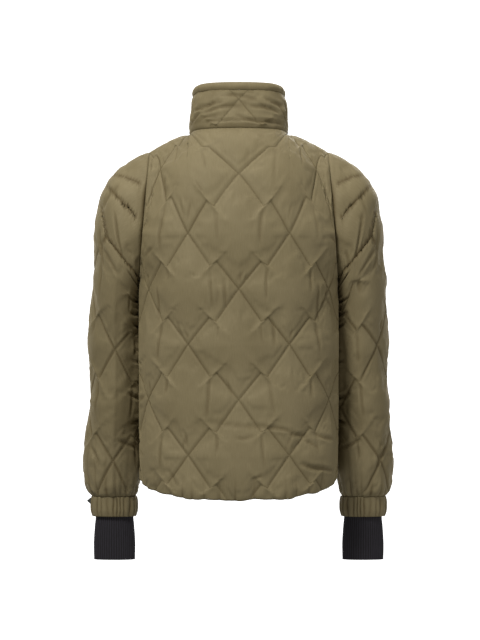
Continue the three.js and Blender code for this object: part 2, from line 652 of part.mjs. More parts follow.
function geometryOf(body) {
  const { vertProperties, triVerts } = body.getMesh();
  const geometry = new THREE.BufferGeometry();
  geometry.setAttribute("position", new THREE.BufferAttribute(vertProperties, 3));
  geometry.setIndex(new THREE.BufferAttribute(triVerts, 1));
  return geometry;
}

// A plate that lies along the zip, from its outline in X and height, between two depths.
function plate(shape, back, front) {
  const geometry = new THREE.ExtrudeGeometry(shape, { depth: front - back, bevelEnabled: false, curveSegments: 8 });
  return solid(geometry.rotateX(PI / 2).translate(0, front, 0));
}

function outline(corners) {
  return new THREE.Shape(corners.map(([x, z]) => new THREE.Vector2(x, z)));
}

// Slider and pull are made with the ring's middle as origin, +Y out of the jacket.
const ringY = CHAIN.front + SEAM_GAP + SLIDER.plate + BAIL.inner;
const ringZ = -SLIDER.height + SLIDER.ringUp;
const { half, height, plate: thick, bridgeHalf, bridge } = SLIDER;
const foot = half - 1.3;
const body = outline([
  [-foot, -height], [foot, -height], [half, -height / 2], [half, -1], [half - 1, 0],
  [1 - half, 0], [-half, -1], [-half, -height / 2],
]);
const bridgeOutline = outline([[-bridgeHalf, -bridge], [bridgeHalf, -bridge], [bridgeHalf, 0], [-bridgeHalf, 0]]);
const frontPlate = CHAIN.front + SEAM_GAP;
const backPlate = CHAIN.back - SEAM_GAP;
const ringShape = new THREE.Shape().absarc(0, 0, BAIL.outer, 0, 2 * PI);
ringShape.holes.push(new THREE.Path().absarc(0, 0, BAIL.inner, 0, 2 * PI));
const ringGeometry = new THREE.ExtrudeGeometry(ringShape, { depth: 2 * BAIL.half, bevelEnabled: false });
ringGeometry.translate(0, 0, -BAIL.half).rotateY(PI / 2).translate(0, ringY, ringZ);
const slider = wasm.Manifold.union([
  plate(body, frontPlate, frontPlate + thick),
  plate(body, backPlate - thick, backPlate),
  plate(bridgeOutline, backPlate - thick / 2, frontPlate + thick / 2),
  solid(ringGeometry),
]);

const tip = PULL.half - 1;
const pullOutline = outline([
  [-PULL.half, 0], [-PULL.half, -PULL.slot], [-tip, -PULL.length + 2], [1.5 - tip, -PULL.length],
  [tip - 1.5, -PULL.length], [tip, -PULL.length + 2], [PULL.half, -PULL.slot], [PULL.half, 0],
]);
const slot = outline([
  [-PULL.slotHalf, -PULL.slot], [PULL.slotHalf, -PULL.slot], [PULL.slotHalf, 2], [-PULL.slotHalf, 2],
]);
const bar = new THREE.CylinderGeometry(PULL.barRadius, PULL.barRadius, 2 * PULL.half, 20).rotateZ(PI / 2);
const pull = plate(pullOutline, -PULL.thick / 2, PULL.thick / 2)
  .subtract(plate(slot, -PULL.thick, PULL.thick))
  .add(solid(bar));

const onZip = new THREE.Matrix4()
  .makeRotationX(Math.atan2(topNormal.z, topNormal.y))
  .setPosition(zipTop);
addPiece("zip_slider", geometryOf(slider).applyMatrix4(onZip), DARK_METAL);
const pullAt = geometryOf(pull).translate(0, ringY, ringZ);
addPiece("zip_pull", pullAt.applyMatrix4(onZip), DARK_METAL);

export default jacket;
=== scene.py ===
# %% [markdown]
# # A quilted jacket
#
# A padded jacket seen from the back, with a stand collar, elastic cuffs and black wristlets.
# Every quilted piece starts as a flat grid whose lines follow the stitching. The grid is laid on
# the garment's form, and each point swells by its distance from the stitch lines. A cloth
# simulation with air pressure then adds a slight unevenness between them.

from math import pi, radians

import bmesh
import bpy
import numpy as np
from mathutils import Matrix


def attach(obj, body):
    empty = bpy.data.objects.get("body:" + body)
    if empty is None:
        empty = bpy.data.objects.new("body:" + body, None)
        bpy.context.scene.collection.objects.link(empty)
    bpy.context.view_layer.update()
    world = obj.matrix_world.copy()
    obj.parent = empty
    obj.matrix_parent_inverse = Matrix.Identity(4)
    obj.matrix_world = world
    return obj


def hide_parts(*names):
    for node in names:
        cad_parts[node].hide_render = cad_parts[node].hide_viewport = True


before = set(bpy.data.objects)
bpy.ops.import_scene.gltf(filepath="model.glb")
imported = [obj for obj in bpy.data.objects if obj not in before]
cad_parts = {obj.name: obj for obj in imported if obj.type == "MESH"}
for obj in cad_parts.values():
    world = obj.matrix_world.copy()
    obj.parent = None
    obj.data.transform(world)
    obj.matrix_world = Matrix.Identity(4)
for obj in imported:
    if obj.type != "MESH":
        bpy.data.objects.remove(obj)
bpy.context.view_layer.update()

# %% [markdown]
# ## Camera and light
#
# The camera stands six metres behind the jacket, level with its middle, so that there is little
# perspective. A white wall and four large soft lamps give an even studio light. The wall can be
# seen from its front only, so that a camera behind it still sees the jacket's hidden side.

# %% Camera
PIXEL = 0.00187  # metres of jacket for each pixel of the photograph
PICTURE_TALL = 640  # pixels
CAMERA_AWAY = 6.0
SENSOR_TALL = 24.0  # millimetres
MIDDLE = (0.0024, -0.3553)  # x and z in the picture's middle

camera_data = bpy.data.cameras.new("camera")
camera = bpy.data.objects.new("camera", camera_data)
bpy.context.scene.collection.objects.link(camera)
camera.location = (MIDDLE[0], -CAMERA_AWAY, MIDDLE[1])
camera.rotation_euler = (pi / 2, 0, 0)
camera_data.sensor_fit = "VERTICAL"
camera_data.sensor_height = SENSOR_TALL
camera_data.lens = SENSOR_TALL * CAMERA_AWAY / (PICTURE_TALL * PIXEL)
bpy.context.scene.camera = camera
print("lens", round(camera_data.lens, 1), "mm")


# %% Lamps
def lamp(name, place, turn, size, watts, colour=(1, 1, 1)):
    data = bpy.data.lights.new(name, "AREA")
    data.shape = "RECTANGLE"
    data.size, data.size_y = size
    data.energy = watts
    data.color = colour
    obj = bpy.data.objects.new(name, data)
    obj.location = place
    obj.rotation_euler = [radians(a) for a in turn]
    bpy.context.scene.collection.objects.link(obj)
    return obj


lamp("key", (-1.5, -2.9, 2.5), (50, 0, -27), (1.1, 1.1), 150)
lamp("fill", (2.6, -2.8, -0.2), (92, 0, 43), (1.4, 2.0), 25)
lamp("top", (0, 0.2, 2.4), (-5, 0, 0), (1.6, 1.0), 26)
lamp("front", (0.8, 3.0, 1.2), (105, 0, 165), (1.8, 1.8), 70)

world = bpy.data.worlds.new("studio")
bpy.context.scene.world = world
world.use_nodes = True
sky = world.node_tree.nodes["Background"]
sky.inputs["Color"].default_value = (1, 1, 1, 1)
sky.inputs["Strength"].default_value = 0.34
bpy.context.scene.view_settings.view_transform = "Standard"

# %% Wall
backdrop_mesh = bpy.data.meshes.new("backdrop")
bm = bmesh.new()
bmesh.ops.create_grid(bm, x_segments=1, y_segments=1, size=4)
bmesh.ops.rotate(bm, verts=bm.verts, matrix=Matrix.Rotation(pi / 2, 3, "X"))
bm.to_mesh(backdrop_mesh)
bm.free()
backdrop = bpy.data.objects.new("backdrop", backdrop_mesh)
backdrop.location = (0, 4.5, 0)
bpy.context.scene.collection.objects.link(backdrop)
paper = bpy.data.materials.new("white_paper")
paper.use_nodes = True
paper_nodes, paper_links = paper.node_tree.nodes, paper.node_tree.links
paper_shader = paper_nodes["Principled BSDF"]
paper_shader.inputs["Base Color"].default_value = (0.9, 0.9, 0.9, 1)
paper_shader.inputs["Emission Color"].default_value = (1, 1, 1, 1)
paper_shader.inputs["Emission Strength"].default_value = 1.0
facing = paper_nodes.new("ShaderNodeNewGeometry")
in_sight = paper_nodes.new("ShaderNodeMath")
in_sight.operation = "SUBTRACT"
in_sight.inputs[0].default_value = 1.0
paper_links.new(facing.outputs["Backfacing"], in_sight.inputs[1])
paper_links.new(in_sight.outputs[0], paper_shader.inputs["Alpha"])
backdrop_mesh.materials.append(paper)
print("wall at", backdrop.location.y, "m")

# %% [markdown]
# ## Sizes
#
# All sizes are in millimetres, as in the solids. One table row describes one section of the body,
# a sleeve, a cuff or a wristlet, and smooth curves run between the rows.

# %% Sizes
MM = 0.001
WALL = 2.5
COLLAR_WALL = 5.0
GAP = 0.3  # between two pieces at a seam
PUFF = 9.0  # how far a diamond's middle swells
HALF_WIDE, HALF_TALL = 93.5, 101.5  # half a diamond
FIRST_CROSSING = -95.0  # height of the highest crossing in the middle of the back
SQUARENESS = 2.4  # 2 makes a level line an ellipse, more makes it squarer
LAST_COLUMN = 2.8  # half diamonds from the middle of the back to the side seam
EVEN_COLUMNS = 2.0  # of these, how many keep their full width
HEM_ROW, LAST_ROW, CHEST_ROW, UNDERARM_ROW = -5.0, -5.8, -1.0, -1.8
SHOULDER_X, SHOULDER_Z, UNDERARM_X = 166.0, -45.0, 184.0
ARMHOLE_DEPTH = 78.0
ZIP_EDGE = 8.0
NECK_HALF, NECK_BACK, NECK_FRONT = 90.0, 75.0, 84.0
NECK_SIDE_Z, NECK_FRONT_DROP, SHOULDER_FALL = -10.0, 48.0, 35.0
NECK_MITRE = radians(28)
SHOULDER_BEND = radians(52)
HEM_BACK_Z, HEM_BACK_RISE = -685, 43
HEM_FRONT_Z, HEM_FRONT_RISE = -652, 9


def row_height(row):
    return FIRST_CROSSING + HALF_TALL * row


UNDERARM_Z, CHEST_Z = row_height(UNDERARM_ROW), row_height(CHEST_ROW)

BODY = {
    "z": [-700, -665, -606, -540, -440, -345, -310, UNDERARM_Z, CHEST_Z],
    "half": [172, 181, 182, 182, 182, 182, 183, 184, 184],
    "back": [131, 138, 141, 139, 140, 146, 149, 150, 149],
    "front": [134, 140, 144, 145, 147, 150, 151, 151, 145],
}
SLEEVE = {
    "row": [-4.6, -4.4, -4, -3.5, -3, -2.5, -2, -1.5, -1, -0.6, -0.3, 0, 0.2, 0.4, 0.6, 0.8, 1],
    "outer_x": [276, 282, 284, 282, 277, 274, 275, 273, 269, 265, 260, 251, 239, 222, 203, 184.5, 166],
    "outer_z": [-688, -664, -618, -565, -508, -450, -395, -335, -275, -218, -170, -127]
    + [-98, -77, -64, -53.5, -45],
    "inner_x": [195, 191, 186, 184.5, 184, 184, 184.5, 186, 187.5, 188, 187, 186]
    + [185.2, 184.8, 184.5, 184.2, 184],
    "inner_z": [-688, -664, -620, -570, -520, -470, -425, -385, -345, -322, -308, -298]
    + [-291, -287, -284, -281, UNDERARM_Z],
    "depth": [38, 49, 57, 62, 66, 69, 71, 73, 75, 77, 78, 79, 79.5, 79.5, 79, 78.5, 78],
    "forward": [73, 73, 71, 67, 61, 54, 46, 36, 24, 14, 8, 4, 2, 1, 1, 0, 0],
    "widest": [0.5] * 8 + [0.48, 0.45, 0.43, 0.41, 0.4, 0.37, 0.36, 0.355, 0.349],
}
CUFF = {"z": [-726, -716, -705, -697, -688], "half": [39, 41.5, 42, 42, 41], "depth": [30, 33.5, 35, 36, 38]}
WRISTLET = {
    "z": [-808, -778, -744, -726, -703],
    "half": [38.5, 39, 37, 35.5, 38.8],
    "depth": [21, 23, 25, 26, 32.2],
}


def curves(table):
    """Smooth curves of a table's first column."""
    key, *names = table
    x = np.array(table[key], float)
    y = np.array([table[name] for name in names], float).T
    secant = np.diff(y, axis=0) / np.diff(x)[:, None]
    slope = np.vstack([secant[:1], (secant[1:] + secant[:-1]) / 2, secant[-1:]])

    def at(value):
        value = np.clip(np.asarray(value, float), x[0], x[-1])
        i = np.clip(np.searchsorted(x, value, side="right") - 1, 0, len(x) - 2)
        span = (x[i + 1] - x[i])[..., None]
        t = (value - x[i])[..., None] / span
        low = (2 * t**3 - 3 * t**2 + 1) * y[i] + (t**3 - 2 * t**2 + t) * span * slope[i]
        high = (3 * t**2 - 2 * t**3) * y[i + 1] + (t**3 - t**2) * span * slope[i + 1]
        return {name: (low + high)[..., k] for k, name in enumerate(names)}

    return at


body_section, sleeve_section = curves(BODY), curves(SLEEVE)
cuff_section, wristlet_section = curves(CUFF), curves(WRISTLET)
print("underarm at", round(UNDERARM_Z), "mm")

# %% [markdown]
# ## The body's form
#
# Below the arms each level line is a soft rectangle, measured along its own length from the
# middle of the back or the zip. Above the chest each column bends over to the shoulder or the
# neck as a quarter ellipse. A fine table of points is made once for each side and then read at
# any quilting column and row.


# %% Body form
def armhole_x(z):
    return UNDERARM_X + (SHOULDER_X - UNDERARM_X) * (z - UNDERARM_Z) / (SHOULDER_Z - UNDERARM_Z)


def level_line(z, side, from_x, columns):
    """Points of one level line at the given columns."""
    section = {name: float(value) for name, value in body_section(z).items()}
    depth = section["back"] if side < 0 else section["front"]
    reach, edge = 0.0, section["half"]
    if z > UNDERARM_Z + 1e-6:
        fall = np.clip((CHEST_Z - z) / (CHEST_Z - UNDERARM_Z), 0, 1)
        reach, edge = ARMHOLE_DEPTH * (1 - fall**2) ** 0.5, armhole_x(z)
    half = edge / (1 - (reach / depth) ** SQUARENESS) ** (1 / SQUARENESS)
    first, last = (np.arcsin(min(1.0, (x / half) ** (SQUARENESS / 2))) for x in (from_x, edge))
    angle = np.linspace(first, last, 300)
    x = half * np.sin(angle) ** (2 / SQUARENESS)
    y = side * depth * np.clip(np.cos(angle), 0, 1) ** (2 / SQUARENESS)
    run = np.concatenate([[0], np.cumsum(np.hypot(np.diff(x), np.diff(y)))])
    even = EVEN_COLUMNS * HALF_WIDE
    beyond = np.clip(columns - EVEN_COLUMNS, 0, None) / (LAST_COLUMN - EVEN_COLUMNS)
    place = np.minimum(columns, EVEN_COLUMNS) * HALF_WIDE + beyond * (run[-1] - even)
    return np.stack([np.interp(place, run, x), np.interp(place, run, y), np.full_like(columns, z)], -1)


def neck_point(angle):
    depth = np.where(np.cos(angle) > 0, NECK_BACK, NECK_FRONT)
    z = -NECK_FRONT_DROP * ((1 - np.cos(angle)) / 2) ** 2.26
    return np.stack([NECK_HALF * np.sin(angle), -depth * np.cos(angle), z], -1)


def top_edge(columns, side, from_x):
    first = np.arcsin(from_x / NECK_HALF)
    turn = first + (pi / 2 - first) * np.clip(columns, 0, 1)
    neck = neck_point(turn if side < 0 else pi - turn)
    share = np.clip(columns - 1, 0, None) / (LAST_COLUMN - 1)
    ridge_x = NECK_HALF + (SHOULDER_X - NECK_HALF) * share
    ridge = np.stack([ridge_x, 0 * share, NECK_SIDE_Z - SHOULDER_FALL * share**1.1], -1)
    return np.where((columns <= 1)[:, None], neck, ridge)


def hem_height(columns, side):
    """The hem rises from the middle to the side seam."""
    share = columns / LAST_COLUMN
    if side < 0:
        return HEM_BACK_Z + HEM_BACK_RISE * share**2.1
    return HEM_FRONT_Z + HEM_FRONT_RISE * share**2


TABLE_STEP = 0.025


def body_table(side, from_x):
    columns = np.arange(0, LAST_COLUMN + 1e-6, TABLE_STEP)
    rows = np.arange(LAST_ROW, 1 + 1e-6, TABLE_STEP)
    chest = level_line(CHEST_Z, side, from_x, columns)
    top = top_edge(columns, side, from_x)
    turn = SHOULDER_BEND + (pi / 2 - SHOULDER_BEND) * np.clip(columns, 0, 1) ** 2
    lines = []
    for row in rows:
        if row > CHEST_ROW + 1e-9:
            angle = turn * (row - CHEST_ROW) / (1 - CHEST_ROW)
            rise = np.sin(angle) / np.sin(turn)
            lean = (1 - np.cos(angle)) / (1 - np.cos(turn))
            share = np.stack([rise, lean, rise], -1)
            lines.append(chest + (top - chest) * share)
        elif row >= HEM_ROW:
            lines.append(level_line(row_height(row), side, from_x, columns))
        else:
            share = (HEM_ROW - row) / (HEM_ROW - LAST_ROW)
            z = row_height(HEM_ROW) + (hem_height(columns, side) - row_height(HEM_ROW)) * share
            levels = np.linspace(z.min(), z.max(), 12)
            grid = np.array([level_line(level, side, from_x, columns) for level in levels])
            line = [[np.interp(z[j], levels, grid[:, j, axis]) for axis in (0, 1)] for j in range(len(z))]
            lines.append(np.column_stack([np.array(line), z]))
    return np.array(lines)


def read_table(table, column, row):
    """The table's points at any columns and rows, between its own."""
    j = np.clip(column / TABLE_STEP, 0, table.shape[1] - 1.001)
    i = np.clip((row - LAST_ROW) / TABLE_STEP, 0, table.shape[0] - 1.001)
    j0, i0 = j.astype(int), i.astype(int)
    u, v = (j - j0)[..., None], (i - i0)[..., None]
    low = table[i0, j0] * (1 - u) + table[i0, j0 + 1] * u
    high = table[i0 + 1, j0] * (1 - u) + table[i0 + 1, j0 + 1] * u
    return low * (1 - v) + high * v


back_table, front_table = body_table(-1, 0.0), body_table(1, ZIP_EDGE)
print("form tables", back_table.shape, front_table.shape)

# %% [markdown]
# ## The stitching's path
#
# A stitch line leaves each crossing steeply, steps sideways half-way, and runs on to the next.
# The fabric's grid is pulled so that its own diagonals follow that path, and every crease then
# lies on the mesh's lines.

# %% Stitch path
FINE, AIR = 30, 15  # grid cells in half a diamond, of a finished piece and of one that air fills
PATH = np.array([(0, 0), (0.44, 0.58), (0.57, 0.515), (1, 1)])  # down from a crossing to the next
SLACK = 0.6  # how much of the stitching's depth is lost at a step
LINES_APART = 68.8  # from a diamond's middle to its stitch lines
PATH_KEYS = np.array([0, 0.5 - 0.5 / AIR, 0.5 + 1 / AIR, 1])


def fold(value):
    """Where a column or row lies in its own half diamond, and which way that one faces."""
    turn = np.mod(value, 2)
    return np.where(turn <= 1, turn, 2 - turn), np.where(turn <= 1, 1.0, -1.0)


def from_path(u, v):
    """Millimetres from the stitch path, in a half diamond whose upper crossing is at 0, 0."""
    path = PATH * (HALF_WIDE, HALF_TALL)
    runs = list(zip(path[:-1], path[1:]))
    runs.append((path[0], (path[3] - path[2]) * (1, -1)))  # the line that comes down to this crossing
    runs.append((path[3], path[3] + path[1] * (-1, 1)))  # and the one that leaves the lower one
    x, z = u * HALF_WIDE, v * HALF_TALL
    nearest = np.full(x.shape, np.inf)
    for start, end in runs:
        run = end - start
        along = np.clip(((x - start[0]) * run[0] + (z - start[1]) * run[1]) / (run @ run), 0, 1)
        apart = np.hypot(x - start[0] - along * run[0], z - start[1] - along * run[1])
        nearest = np.minimum(nearest, apart)
    return nearest


def stitch_grid(columns, rows, window):
    """Pulls a grid of columns and rows onto the stitch path. Returns both, whether each point is on
    the stitching (0), its real distance from it as a share of half a diamond, and how tightly it is
    sewn there: the thread is slack where it steps sideways."""
    across, right = fold(columns)
    up, rising = fold(rows)
    along = (across + up) / 2
    off = np.abs(across - up)
    near = np.clip(1 - off / 0.85, 0, 1) * np.clip(8 * np.minimum(across, 1 - across), 0, 1) * window
    down = np.where(rising > 0, 1 - along, along)
    way = np.where(rising > 0, -1, 1)
    on_x = way * (np.interp(down, PATH_KEYS, PATH[:, 0]) - down) * near
    on_y = way * (np.interp(down, PATH_KEYS, PATH[:, 1]) - down) * near
    new_across, new_up = across + on_x, up + on_y
    u, v = (np.where(rising > 0, 1 - part, part) for part in (new_across, new_up))
    far = window * from_path(u, v) / LINES_APART + (1 - window) * off
    tight = 1 - SLACK * np.exp(-(((down - 0.52) / 0.07) ** 2))
    return columns + right * on_x, rows + rising * on_y, off, far, tight


def pillow(distance, power=0.6):
    return np.sin(pi / 2 * np.clip(distance, 0, 1)) ** power


def grid_normals(points, ring=False):
    """Unit normals of a grid of points, from its neighbours."""
    if ring:
        across = np.roll(points, -1, 1) - np.roll(points, 1, 1)
    else:
        across = np.gradient(points, axis=1)
    up = np.gradient(points, axis=0)
    normal = np.cross(across, up)
    return normal / np.linalg.norm(normal, axis=-1, keepdims=True)


print("cells in half a diamond", FINE)

# %% [markdown]
# ## Materials
#
# The shell is a thin, dense, slightly shiny weave in olive. The wristlets are a matt black stretch
# knit with fine ribs. Threads and streaks come from the pieces' own cloth coordinates, in metres
# along the column and row threads. The slow change of colour and the fine crumple follow the
# place on the jacket instead, so they run on over a seam. Each piece's own attribute, named sewn,
# holds painted shade, which darkens its colour: beside stitch lines, in folds, between gathers
# and ribs, and in the sleeves' two bands of deep shade.


# %% Materials
def new_material(name):
    material = bpy.data.materials.new(name)
    material.use_nodes = True
    tree = material.node_tree
    return material, tree, tree.nodes["Principled BSDF"]


def add(tree, kind, inputs=(), **settings):
    node = tree.nodes.new(kind)
    for key, value in settings.items():
        setattr(node, key, value)
    for key, value in dict(inputs).items():
        if isinstance(value, bpy.types.NodeSocket):
            tree.links.new(value, node.inputs[key])
        else:
            node.inputs[key].default_value = value
    return node


def ramp(tree, factor, stops):
    node = add(tree, "ShaderNodeValToRGB", {"Fac": factor})
    elements = node.color_ramp.elements
    while len(elements) < len(stops):
        elements.new(0.5)
    for element, (place, colour) in zip(elements, stops):
        element.position = place
        element.color = (*colour, 1)
    return node.outputs["Color"]


# The colour that painted shade darkens the cloth towards, at its strongest.
DEEP_SHADE = (0.46, 0.4, 0.31)  # how much of the colour is left in the deepest folds


def woven(name, dark, light, roughness, sheen, threads, thread_depth, slub=0.4):
    """A plain weave: two crossed wave textures, with a slow change of colour, faint streaks along
    the threads and a fine crumple."""
    material, tree, shader = new_material(name)
    cloth = add(tree, "ShaderNodeUVMap", uv_map="cloth").outputs["UV"]
    place = add(tree, "ShaderNodeTexCoord").outputs["Object"]
    cloud = add(tree, "ShaderNodeTexNoise", {"Vector": place, "Scale": 9.0, "Detail": 4.0}).outputs["Fac"]
    grain = add(tree, "ShaderNodeMapping", {"Vector": cloth, "Scale": (900, 60, 1)}).outputs["Vector"]
    streak = add(tree, "ShaderNodeTexNoise", {"Vector": grain, "Scale": 1.0, "Detail": 2.0}).outputs["Fac"]
    mixed = add(tree, "ShaderNodeMix", {"Factor": slub, "A": cloud, "B": streak}, data_type="FLOAT")
    colour = ramp(tree, mixed.outputs[0], [(0.3, dark), (0.7, light)])
    # The attribute sewn holds painted shade, which darkens the colour towards DEEP_SHADE.
    sewn = add(tree, "ShaderNodeAttribute", attribute_name="sewn").outputs["Fac"]
    shade = ramp(tree, sewn, [(0, (1, 1, 1)), (1, DEEP_SHADE)])
    tinted = add(tree, "ShaderNodeVectorMath", {0: colour, 1: shade}, operation="MULTIPLY")
    tree.links.new(tinted.outputs[0], shader.inputs["Base Color"])
    shader.inputs["Roughness"].default_value = roughness
    shader.inputs["Sheen Weight"].default_value = sheen
    shader.inputs["Sheen Roughness"].default_value = 0.4
    shader.inputs["Sheen Tint"].default_value = (*(min(1.0, 4.5 * part) for part in light), 1)
    shader.inputs["Specular IOR Level"].default_value = 0.18
    warp = add(tree, "ShaderNodeTexWave", {"Vector": cloth, "Scale": threads}, bands_direction="X")
    weft = add(tree, "ShaderNodeTexWave", {"Vector": cloth, "Scale": threads}, bands_direction="Y")
    crossed = {0: warp.outputs["Fac"], 1: weft.outputs["Fac"]}
    height = add(tree, "ShaderNodeMath", crossed, operation="MAXIMUM")
    fine = add(
        tree,
        "ShaderNodeBump",
        {"Height": height.outputs[0], "Distance": thread_depth, "Strength": 0.5},
    )
    crumple = add(tree, "ShaderNodeTexNoise", {"Vector": place, "Scale": 55.0, "Detail": 3.0})
    soft = add(
        tree,
        "ShaderNodeBump",
        {
            "Height": crumple.outputs["Fac"],
            "Distance": 0.0008,
            "Strength": 0.25,
            "Normal": fine.outputs["Normal"],
        },
    )
    tree.links.new(soft.outputs["Normal"], shader.inputs["Normal"])
    return material


OLIVE = woven("olive_shell", (0.165, 0.132, 0.066), (0.215, 0.175, 0.094), 0.68, 0.18, 320.0, 0.0001)
THREAD = woven("olive_thread", (0.13, 0.105, 0.05), (0.17, 0.14, 0.07), 0.7, 0.1, 320.0, 0.00005)
KNIT = woven("black_stretch", (0.018, 0.0165, 0.0205), (0.033, 0.031, 0.038), 0.75, 0.3, 170.0, 0.0003)
TAPE = woven("zip_tape_weave", (0.05, 0.045, 0.03), (0.075, 0.068, 0.045), 0.7, 0.15, 300.0, 0.0002)


def moulded(name, dark, light, roughness, metallic=0.0):
    """Moulded or painted stuff: a slow change of colour and a fine uneven gloss."""
    material, tree, shader = new_material(name)
    place = add(tree, "ShaderNodeTexCoord").outputs["Object"]
    cloud = add(tree, "ShaderNodeTexNoise", {"Vector": place, "Scale": 180.0, "Detail": 3.0}).outputs["Fac"]
    tree.links.new(ramp(tree, cloud, [(0.35, dark), (0.65, light)]), shader.inputs["Base Color"])
    limits = {"Value": cloud, "To Min": roughness - 0.06, "To Max": roughness + 0.1}
    gloss = add(tree, "ShaderNodeMapRange", limits)
    tree.links.new(gloss.outputs["Result"], shader.inputs["Roughness"])
    shader.inputs["Metallic"].default_value = metallic
    bump = add(tree, "ShaderNodeBump", {"Height": cloud, "Distance": 0.0001, "Strength": 0.4})
    tree.links.new(bump.outputs["Normal"], shader.inputs["Normal"])
    return material


TEETH = moulded("zip_teeth_resin", (0.03, 0.028, 0.02), (0.05, 0.045, 0.034), 0.4)
METAL = moulded("zip_metal", (0.06, 0.06, 0.055), (0.1, 0.1, 0.09), 0.35, 0.9)
RUBBER = moulded("tab_rubber", (0.025, 0.026, 0.022), (0.04, 0.042, 0.035), 0.6)
print("materials", len(bpy.data.materials))

# %% [markdown]
# ## Folds and creases
#
# Stitching pulls thin cloth into creases: a long soft one hangs below each step of a stitch line,
# and short ones stand over each crossing. Tables add larger ones: those of the back follow the
# photograph, and the hidden front gets the same ones. Each is a trough with a low ridge on either
# side, laid out in millimetres of cloth.


# %% Creases
NOISE_CELLS = 64
BOLD = 1.35  # how deep all creases are, against the tables' depths


def uneven(x, z, size, seed, around=None):
    """Smooth unevenness from -1 to 1, with bumps of about this size. It closes on itself after
    the distance around."""
    values = np.random.default_rng(seed).uniform(-1, 1, (NOISE_CELLS, NOISE_CELLS))
    wide = NOISE_CELLS if around is None else max(2, round(around / size))
    across = size if around is None else around / wide
    u, v = np.mod(x / across, wide), np.mod(z / size, NOISE_CELLS)
    i, j = u.astype(int) % wide, v.astype(int) % NOISE_CELLS
    s, t = u - np.floor(u), v - np.floor(v)
    s, t = s * s * (3 - 2 * s), t * t * (3 - 2 * t)
    next_i, next_j = (i + 1) % wide, (j + 1) % NOISE_CELLS
    low = values[i, j] * (1 - s) + values[next_i, j] * s
    high = values[i, next_j] * (1 - s) + values[next_i, next_j] * s
    return low * (1 - t) + high * t


def creased(x, z, creases, around=None):
    """The height that a table of creases adds at each point."""
    height = np.zeros_like(x)
    for from_x, from_z, to_x, to_z, depth, width, bow in creases:
        run_x, run_z = to_x - from_x, to_z - from_z
        length = np.hypot(run_x, run_z)
        dx, dz = x - from_x, z - from_z
        if around:
            dx = np.mod(dx + around / 2, around) - around / 2
        along = np.clip((dx * run_x + dz * run_z) / length**2, 0, 1)
        swing = np.sin(pi * along)
        across = (dz * run_x - dx * run_z) / length - bow * swing
        share = np.abs(across) / width
        height += depth * swing**0.7 * (0.35 * np.exp(-((share - 2) ** 2)) - np.exp(-(share**2)))
    return height


def stitch_creases(first, last, bottom, top, wide, tall, seed):
    """The creases that the stitching itself makes, for the diamonds between these columns and rows."""
    chance = np.random.default_rng(seed)
    creases = []
    for row in range(int(np.floor(bottom)), int(np.ceil(top)) + 1):
        for column in range(int(np.floor(first)), int(np.ceil(last)) + 1):
            if (row + column) % 2:
                continue
            for side in (-1, 1):
                x, z = (column + 0.44 * side) * wide, (row - 0.6) * tall
                length, lean = chance.uniform(26, 78), chance.uniform(-0.16, 0.1) * side
                depth, width = chance.uniform(0.7, 2.1), chance.uniform(2.2, 3.6)
                creases.append((x, z, x + lean * length, z - length, depth, width, chance.uniform(-2, 2)))
            for _ in range(chance.integers(1, 4)):
                x, z = column * wide + chance.uniform(-12, 12), row * tall + chance.uniform(5, 16)
                length, lean = chance.uniform(12, 34), chance.uniform(-0.5, 0.5)
                creases.append((x, z, x + lean * length, z + length, chance.uniform(0.5, 1.3), 2.6, 0.5))
    return creases


# Each row: from_x, from_z, to_x, to_z, depth, width, bow, with x from the middle of the back
BACK_CREASES = [
    (-157, -195, -156, -262, 1.8, 3.2, 1),
    (-28, -182, -24, -242, 1.3, 3.0, 1),
    (152, -190, 155, -262, 2.0, 3.2, -1),
    (60, -258, 64, -308, 1.5, 3.2, 2),
    (-60, -448, 96, -452, 0.7, 4.5, -4),
    (44, -458, 104, -468, 1.7, 3.4, 4),
    (-8, -474, 28, -470, 1.0, 3.2, -5),
    (86, -470, 134, -476, 2.0, 3.6, 2),
    (118, -480, 150, -496, 1.8, 3.2, 3),
    (140, -466, 194, -480, 1.8, 3.6, -4),
    (112, -524, 166, -536, 2.2, 4.0, -4),
    (126, -540, 196, -550, 1.7, 4.0, 5),
    (178, -186, 176, -226, 1.8, 2.8, 2),
    (168, -196, 196, -240, 1.6, 3.0, -3),
    (160, -238, 186, -206, 1.3, 2.8, 2),
    (-168, -18, -150, -54, 1.3, 4.0, 2),
    (-72, -24, -58, -42, 0.9, 3.4, 1),
    (-222, -26, -184, -62, 1.9, 3.4, -3),
    (-182, -142, -160, -126, 1.0, 2.8, 1),
    (222, -22, 186, -60, 1.6, 3.4, 3),
    (-214, -96, -176, -86, 1.2, 3.4, 2),
    (212, -118, 174, -106, 1.4, 3.4, 2),
    (-132, -540, -112, -572, 1.3, 3.2, 1),
    (24, -552, 46, -544, 1.0, 3.0, 1),
    (-232, -420, -196, -398, 1.4, 3.4, 2),
    (-230, -330, -204, -344, 1.2, 3.2, 2),
    (-226, -500, -190, -514, 1.3, 3.6, 3),
]

# %% [markdown]
# ## Making a padded piece
#
# Each piece has a function that lays a grid of columns and rows on the garment: it gives the
# stitched surface, its outward direction and how far the padding should swell. That swelling and
# the creases make the shape. A cloth simulation also blows air into a coarse copy, pinned along its
# stitches. It would move some points by several millimetres, in level bands that the real jacket
# doesn't have, so no more than one millimetre of it is added, as unevenness. Stitch lines stay
# sharp, and the inside stays plain.

# %% Fullness of a diamond
SEAM_RISE = 3.5
THINNEST = -1.0


def fullness(far, tight):
    """0 on tight stitching and 1 in a diamond's middle: a quick rise beside the stitches, then a crown."""
    full = 0.24 * (1 - np.exp(-far * LINES_APART / 2.4)) + 0.76 * np.sin(pi / 2 * np.clip(far, 0, 1)) ** 0.85
    return 1 - (1 - full) * tight


def seam_rise(z):
    """Padding lifts the seams over the shoulders. Behind and before the arms they lie deep."""
    return SEAM_RISE * np.clip((z + 115) / 45, 0, 1)


